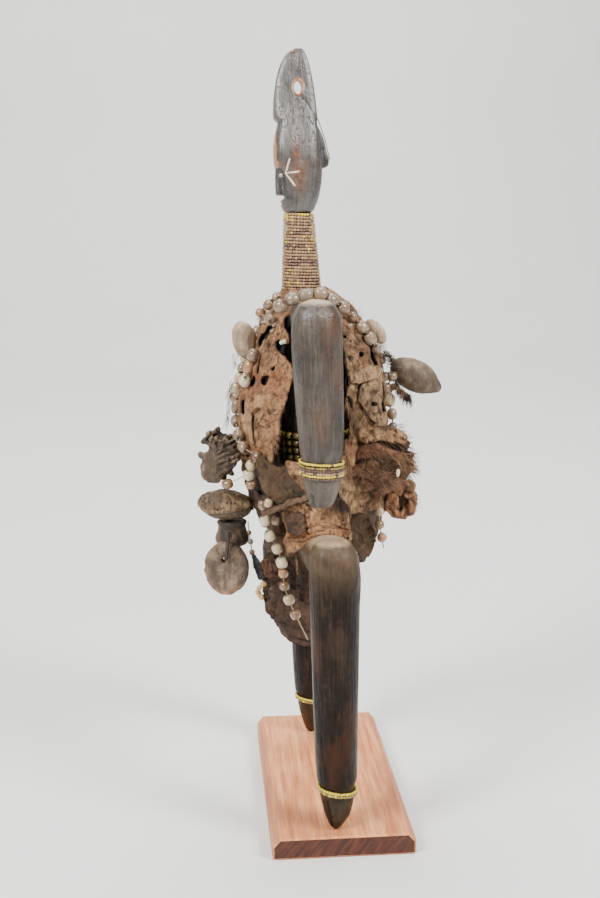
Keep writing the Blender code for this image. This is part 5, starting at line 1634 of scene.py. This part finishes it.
def disc_relief(point, normal):
    """A flat seed with a chipped rim, a notch at its top and painted shade round its hole."""
    spot = pixel_of(point)
    lumps = rough(point, 120, 5.0, 3)
    chip = max(blot(spot, (cx, cy), size, size) for cx, cy, size in CHIPS)
    rim = smooth_between(1 - abs(normal.x), 0.35, 0.8)
    out = 0.42 * lumps + 0.22 * rough(point, 520, 6.0) - 1.3 * chip * rim - 1.6 * blot(spot, (229, 543), 4.5, 3.0)
    worn = 0.85 * blot(spot, (225, 594), 7, 3.2) + 0.7 * chip
    # Painted shade for the hole, which is not cut.
    hole = blot(spot, (224, 557), 2.65, 2.65)
    return out * MM, 0.5 * hole + 0.15 * smooth_between(-lumps, 0.1, 0.5), worn, 0.0


def fur_relief(point, normal):
    streak = rough(Vector((point.x, point.y * 0.5, point.z)), 200, 6.0, 3)
    fold = rough(Vector((point.x, point.y * 0.7, point.z * 1.3)), 48, 4.0, 2)
    crease = 1 - smooth_between(abs(fold), 0.0, 0.16)
    px, py = pixel_of(point)
    crevice = bump_at(py - (px - 392) * 0.15, 446, 3.2) * smooth_between(px, 378, 386)
    out = 3.4 * abs(fold) + 1.6 * rough(point, 95, 4.0, 3) + 0.9 * streak + 0.4 * rough(point, 480, 2.0)
    out -= 1.5 * crease + 3.5 * crevice
    # Painted shade in the creases, the low places and the crevice.
    shade = 0.5 * crease + 0.6 * smooth_between(-out, -0.6, 1.2) + 0.8 * crevice
    return (out - 0.3) * MM, min(shade, 0.95), 0.0, 0.25 * smooth_between(out, 1.4, 3.0)


CURL_MIDDLE = Vector((0.0323, 0.0438, 0.2095))


def curl_relief(point, normal):
    """Twisted hide in a ring, with painted shade toward its hollow."""
    offset = point - CURL_MIDDLE
    inward = smooth_between(-offset.normalized().dot(normal), 0.1, 0.8)
    turn = math.atan2(offset.z, offset.y)
    ply = math.sin(offset.x / MM * 1.3 + 2.0 * turn + 2.2 * rough(point, 110, 4.0, 2))
    out, shade = hide_relief(point, 61.0, 0.75)
    out += 0.7 * ply + 0.9
    shade += 0.4 * smooth_between(-ply, 0.2, 0.9) + 0.65 * inward
    return out * MM, min(shade, 0.95), 0.0, 0.25 * smooth_between(ply, 0.4, 1.0)


def sleeve_relief(point, normal):
    """Bound leather: bands that run round the thigh on a slant, with turned edges and painted shade in the grooves
    below them.
    """
    bands = (66.0, 72.0, 79.5, 101.0, 137.0)
    height = (point.z - FOOT_LEVEL) / MM + (point.y / MM) * 0.32
    out, shade = hide_relief(point, 67.0, 0.45)
    for band in bands:
        groove = bump_at(height, band, 0.8)
        out -= 0.9 * groove
        out += 0.5 * bump_at(height, band + 2.2, 1.6)
        shade += 0.6 * groove
    return out * MM, min(shade, 0.9), 0.0, 0.0


def bone_relief(point, normal):
    lump = rough(point, 420, 5.0, 3)
    # Painted shade in the low places.
    return (0.65 * lump + 0.5) * MM, 0.25 * smooth_between(-lump, 0.2, 0.8), 0.0, 0.0


# Balls melted into a charm: picture point, X in metres and radius in millimetres
ROOT_KNOBS = (
    (210, 433, 0.024, 3.0), (218, 430, 0.024, 3.0), (225, 435, 0.026, 2.8), (206, 441, 0.023, 3.2),
    (214, 440, 0.028, 3.3), (222, 442, 0.029, 2.6), (211, 447, 0.027, 2.6), (203, 455, 0.023, 3.5),
    (206, 464, 0.023, 3.4), (210, 473, 0.023, 3.2), (216, 478, 0.023, 2.8), (228, 442, 0.029, 2.3),
    (232, 448, 0.029, 2.3), (235, 455, 0.028, 2.4), (228, 452, 0.031, 2.2), (232, 461, 0.029, 2.4),
    (227, 461, 0.031, 2.1), (234, 463, 0.028, 2.3), (228, 469, 0.028, 2.5), (231, 473, 0.027, 2.3),
    (223, 449, 0.031, 2.0), (224, 477, 0.025, 2.2),
)
CURL_KNOBS = (
    (396, 488, 0.031, 3.6), (402, 486, 0.032, 3.8), (408, 487, 0.033, 3.6), (390, 491, 0.030, 3.4),
    (399, 490, 0.034, 2.6), (386, 500, 0.029, 2.8), (384, 508, 0.028, 2.2),
)
TIE_ROUTE = ((18.4, -66.4, 177.4), (24.0, -67.0, 175.6), (26.0, -67.6, 171.0), (27.0, -68.4, 165.0),
             (26.2, -69.6, 162.0))


def charms():
    weathered("front_seed", "seed_front_upper", 0.0005, ribbed_seed("seed_front_upper", 1.0, 1), PALE_SEED,
              3, 2)
    weathered("back_seed", "seed_back_upper", 0.0006, ribbed_seed("seed_back_upper", 2.0, -1), PALE_SEED,
              3, 2)
    weathered("back_pod", "pod_back", 0.0006, back_pod_relief, BACK_POD, 3, 2)
    weathered("front_pod", "pod_front", 0.0005, front_pod_relief, POD, 3, 2)
    weathered("knotty_root", "root_charm", 0.0005, root_relief, ROOT, 2, 2, ROOT_KNOBS)
    weathered("wooden_spool", "spool_front", 0.0006, spool_relief, SPOOL_SKIN, 3, 1)
    weathered("flat_seed", "disc_seed", 0.0006, disc_relief, DISC, 3, 2)
    weathered("fur_mass", "fur_bundle", 0.0009, fur_relief, CRUMPLED, 2, 2)
    weathered("curled_hide", "hide_curl", 0.0006, curl_relief, HIDE, 3, 2, CURL_KNOBS)
    weathered("thigh_sleeve", "leg_wrap", 0.0010, sleeve_relief, DARK_HIDE, 3)
    for word in ("upper", "lower"):
        weathered(f"small_bone_{word}", f"bone_{word}", 0.0003, bone_relief, BONE, 2, 1)
    # A dark hide disc across the ring's hollow: painted shade for the hollow.
    patch("curl_hollow_shade", [(388, 488), (398, 484), (408, 488), (413, 498), (410, 509), (402, 515), (393, 512),
                           (388, 503)], upright_at(0.0318), DARK_HIDE, (), 0.8, 0.0012, 0.6,
          73.0, 0.3, edge_shade=0.5)
    patch("sleeve_flap", [(282, 593), (290, 600), (293, 607), (284, 612), (274, 618), (270, 617), (272, 608),
                          (277, 600)], upright_at(0.0295), RED_HIDE, (), 0.8, 0.0010, 0.35, 63.0,
          0.3, edge_shade=0.5)
    heap = Heap()
    cord = smooth_route([place(*spot) for spot in TIE_ROUTE], 0.0008)
    beside = [point + Vector((0.0004, 0.0014, 0.0006 * math.sin(index))) for index, point in enumerate(cord)]
    add_tube(heap, cord, [0.0011] * len(cord), 8, (0.034, 0.022, 0.014), 0.35)
    add_tube(heap, beside, [0.0006] * len(cord), 6, (0.060, 0.038, 0.024), 0.5)
    heap.piece("disc_tie", FIBRE, "cord", ("disc_cord",))


# The white inlays and the eyes


def inlay_strip(heap, start, end, width, thick, tree, mirror):
    """A tapered strip laid on the cheek between two picture points."""
    rows = []
    steps, sides = 16, 10
    tilt = math.atan2(end[1] - start[1], end[0] - start[0])
    for step in range(steps + 1):
        share = step / steps
        px, py = (a + (b - a) * share for a, b in zip(start, end))
        hit, normal, _, _ = tree.ray_cast(CAMERA_SPOT, sight(px, py))
        if hit is None:
            continue
        wide = width * (0.35 + 0.65 * math.sin(math.pi * (0.16 + 0.68 * share)) ** 0.7)
        across = seen(px - math.sin(tilt), py + math.cos(tilt), hit.x) - seen(px, py, hit.x)
        across = (across - normal * across.dot(normal)).normalized()
        rows.append([hit + spot for spot in circle(across * (wide / 2), normal * thick, sides)])
    if mirror:
        rows = [[Vector((2 * FIGURE_X - spot.x, spot.y, spot.z)) for spot in reversed(row)] for row in rows]
    heap.rings(rows)


def face_details(head):
    graph = bpy.context.evaluated_depsgraph_get()
    tree = BVHTree.FromObject(head, graph)
    junction = (285.7, 173.1)
    thick = 0.0005
    for word, mirror in (("left", False), ("right", True)):
        upper, lower, eye = Heap(), Heap(), Heap()
        inlay_strip(upper, (289.7, 158.6), junction, 0.00115, thick, tree, mirror)
        inlay_strip(upper, junction, (299.7, 171.5), 0.0012, thick, tree, mirror)
        inlay_strip(lower, junction, (295.3, 186.1), 0.00125, thick, tree, mirror)
        upper.piece(f"cheek_strips_{word}", INLAY, "inlay", (f"cheek_inlay_{word}",))
        lower.piece(f"cheek_strip_lower_{word}", INLAY, "inlay", (f"cheek_inlay_lower_{word}",))
        hit, normal, _, _ = tree.ray_cast(CAMERA_SPOT, sight(281.3, 175.2))
        side = -1 if mirror else 1
        spot = Vector((FIGURE_X + side * (hit.x - FIGURE_X), hit.y, hit.z))
        normal = Vector((side * normal.x, normal.y, normal.z))
        add_bead(eye, spot + normal * 0.0003, normal, 0.00125, 0.0009, (0.8, 0.75, 0.62), 16, 0.05)
        eye.piece(f"eye_stud_{word}", INLAY, "inlay", (f"eye_{word}",))


# Fur, frayed fibres and stray hairs

TAN_HAIR = ((0.46, 0.33, 0.22), (0.36, 0.24, 0.15), (0.24, 0.15, 0.09))
HAIR_TINTS = ((0.27, 0.135, 0.062), (0.36, 0.20, 0.10), (0.19, 0.090, 0.042), (0.10, 0.048, 0.024),
              (0.44, 0.265, 0.14))
DARK_TINTS = ((0.06, 0.035, 0.022), (0.10, 0.06, 0.038), (0.035, 0.022, 0.015))


def tuft(heap, chance, spots, count, toward, length, spread, tints, width, droop, x=None, wave=0.35):
    """Hairs from a picture area or line of spots, pointing toward a picture direction, lengths in millimetres."""
    aim = (RIGHT * toward[0] - UP * toward[1]).normalized()
    for _ in range(count):
        index = chance.randrange(len(spots) - 1) if len(spots) > 1 else 0
        share = chance.random()
        (x0, y0), (x1, y1) = spots[index], spots[min(index + 1, len(spots) - 1)]
        px = x0 + (x1 - x0) * share + chance.uniform(-1.5, 1.5)
        py = y0 + (y1 - y0) * share + chance.uniform(-1.5, 1.5)
        root = seen(px, py, x + chance.uniform(-0.004, 0.004)) if x is not None else touched(px, py, 0.0004)
        scatter = any_way(chance) * spread
        add_hair(heap, root, aim + scatter, chance.uniform(0.4, 1.0) * length * MM, droop, width,
                 varied(chance.choice(tints), chance, 0.2), chance, 5, wave)


FUR_TRIES = 1500
# Tufts: picture points, count, direction, length, spread, tints, width, droop, X and wave
FUR_TUFTS = (
    (((346, 400), (352, 415), (350, 440)), 120, (0.3, 1.0), 7, 0.5, HAIR_TINTS, 0.0004, 0.3),
    (((358, 395), (366, 410), (372, 425)), 90, (0.3, 1.0), 6, 0.6, HAIR_TINTS, 0.0004, 0.3),
    (((405, 458), (410, 466), (411, 472)), 110, (1.0, 0.12), 9, 0.30, HAIR_TINTS, 0.0004, 0.02, 0.052),
    (((398, 425), (406, 440)), 50, (1.0, -0.3), 7, 0.5, HAIR_TINTS, 0.0003, 0.1, 0.050),
)
STRAY_TUFTS = (
    (((232, 380), (230, 400), (228, 425)), 90, (-0.6, 0.8), 9, 0.45, DARK_TINTS, 0.00026, 0.3),
    (((236, 365), (234, 355), (240, 350)), 26, (-0.3, 1.0), 7, 0.6, DARK_TINTS, 0.0003, 0.3),
    (((345, 305), (360, 318)), 60, (0.2, -1.0), 7, 0.6, DARK_TINTS, 0.00024, 0.1),
    (((376, 338), (386, 358)), 70, (0.8, -0.6), 7, 0.6, DARK_TINTS, 0.00026, 0.2),
    (((388, 354), (396, 362), (400, 370)), 170, (-0.8, -0.35), 8, 0.5, DARK_TINTS, 0.0005, 0.1, 0.022),
    (((394, 378), (402, 392), (410, 396)), 190, (0.25, 1.0), 10, 0.5, DARK_TINTS, 0.0005, 0.3, 0.020),
    (((396, 386), (404, 392)), 60, (0.3, 1.0), 7, 0.6, HAIR_TINTS, 0.0005, 0.3, 0.024),
    (((332, 500), (340, 498), (347, 505)), 150, (0.25, 1.0),
     13, 0.18, DARK_TINTS, 0.00045, 0.2, 0.0568, 0.15),
    (((286, 551), (304, 547), (316, 536), (335, 534), (351, 540)), 170, (-0.1, 1.0),
     4, 0.6, HAIR_TINTS, 0.0003, 0.3, 0.0560),
    (((283, 405), (279, 418), (277, 436), (275, 452)), 120, (0.5, 0.5), 4, 0.8, HAIR_TINTS, 0.0003, 0.3),
    (((268, 452), (255, 455), (245, 458)), 70, (0.0, 1.0), 4, 0.6, HAIR_TINTS, 0.0003, 0.4),
    (((258, 318), (268, 312), (276, 322), (280, 330)), 210, (0.35, 0.9), 6, 0.5, TAN_HAIR, 0.0004, 0.3),
    (((344, 312), (352, 322), (360, 330)), 170, (0.6, 0.9), 6, 0.5, TAN_HAIR, 0.0004, 0.3),
    (((345, 445), (349, 465), (352, 480)), 90, (0.15, 1.0), 9, 0.35, HAIR_TINTS, 0.0004, 0.2, 0.0560),
    (((412, 490), (417, 500), (414, 512)), 40, (1.0, -0.1), 5, 0.6, DARK_TINTS, 0.0002, 0.1, 0.033),
    (((379, 486), (380, 500)), 26, (0.0, 1.0), 7, 0.25, HAIR_TINTS, 0.0004, 0.3, 0.050),
)


def fur():
    chance = random.Random(77)
    heap = Heap()
    graph = bpy.context.evaluated_depsgraph_get()
    tree = BVHTree.FromObject(bpy.data.objects["fur_mass"], graph)
    for _ in range(FUR_TRIES):
        px, py = chance.uniform(350, 416), chance.uniform(424, 488)
        hit, normal, _, _ = tree.ray_cast(CAMERA_SPOT, sight(px, py))
        if hit is None:
            continue
        swirl = rough(hit, 60, 5.0, 2) * 2.4
        aim = RIGHT * (0.9 + 0.3 * swirl) - UP * (0.5 - 0.8 * swirl) + normal * 0.45
        tint = chance.choice(HAIR_TINTS if chance.random() < 0.75 else DARK_TINTS)
        add_hair(heap, hit - normal * 0.0004, aim, chance.uniform(0.003, 0.009), 0.12, 0.00042,
                 varied(tint, chance, 0.25), chance, 4, 0.45)
    for row in FUR_TUFTS:
        tuft(heap, chance, *row)
    heap.piece("fur_hairs", FIBRE, "hide")
    heap = Heap()
    for row in STRAY_TUFTS:
        tuft(heap, chance, *row)
    heap.piece("stray_hairs", FIBRE, "hide")


hides()
strand_beads()
charms()
face_details(bpy.data.objects["figure_head"])
fur()
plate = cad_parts["base_plate"]
plate.data.materials.clear()
plate.data.materials.append(PLATE_WOOD)
soft_edge = plate.modifiers.new("soft_edge", "BEVEL")
soft_edge.width = 0.0007
soft_edge.segments = 3
soft_edge.limit_method = "ANGLE"


# The stage


DOLL_MIDDLE = (0.03, 0.0, 0.25)
# Name, place, aim, size in metres and power in watts
LIGHTS = (
    ("left_light", (0.87, -0.97, 1.15), DOLL_MIDDLE, 0.45, 38.0),
    ("right_light", (0.87, 0.97, 1.15), DOLL_MIDDLE, 0.45, 36.0),
    ("top_light", (0.05, -0.1, 1.6), DOLL_MIDDLE, 0.9, 8.0),
    ("wall_light", (-1.1, 0.0, 2.6), (-3.0, 0.0, 0.6), 2.0, 140.0),
)


def add_stage():
    """A pale floor that sweeps up into a wall far behind the doll, and soft lights."""
    reach, back, bend = 5.0, -3.2, 1.2
    turns = [math.radians(10 * step) for step in range(1, 10)]
    profile = [(reach, 0.0), (0.5, 0.0), (back + bend, 0.0)]
    profile += [(back + bend - bend * math.sin(turn), bend - bend * math.cos(turn)) for turn in turns]
    profile.append((back, reach))
    points = [(x, side * reach, height - 0.0002) for x, height in profile for side in (-1, 1)]
    faces = [(2 * step, 2 * step + 1, 2 * step + 3, 2 * step + 2) for step in range(len(profile) - 1)]
    floor_mesh = bpy.data.meshes.new("floor")
    floor_mesh.from_pydata(points, [], faces)
    floor_mesh.shade_smooth()
    made = Recipe("floor", 0.85)
    cloud = made.noise(3.0, 2)
    floor_colour = made.ramp(cloud, (0.3, (0.72, 0.71, 0.69)), (0.7, (0.75, 0.74, 0.72)))
    floor_mesh.materials.append(made.finish(floor_colour))
    floor = bpy.data.objects.new("floor", floor_mesh)
    bpy.context.scene.collection.objects.link(floor)
    world = bpy.data.worlds.new("studio")
    bpy.context.scene.world = world
    world.use_nodes = True
    background = world.node_tree.nodes["Background"]
    background.inputs[0].default_value = (0.84, 0.83, 0.81, 1.0)
    background.inputs[1].default_value = 0.26
    for name, spot, aim, size, power in LIGHTS:
        data = bpy.data.lights.new(name, "AREA")
        data.size = size
        data.energy = power
        light = bpy.data.objects.new(name, data)
        bpy.context.scene.collection.objects.link(light)
        light.location = spot
        light.rotation_euler = (Vector(aim) - Vector(spot)).to_track_quat("-Z", "Y").to_euler()


add_stage()
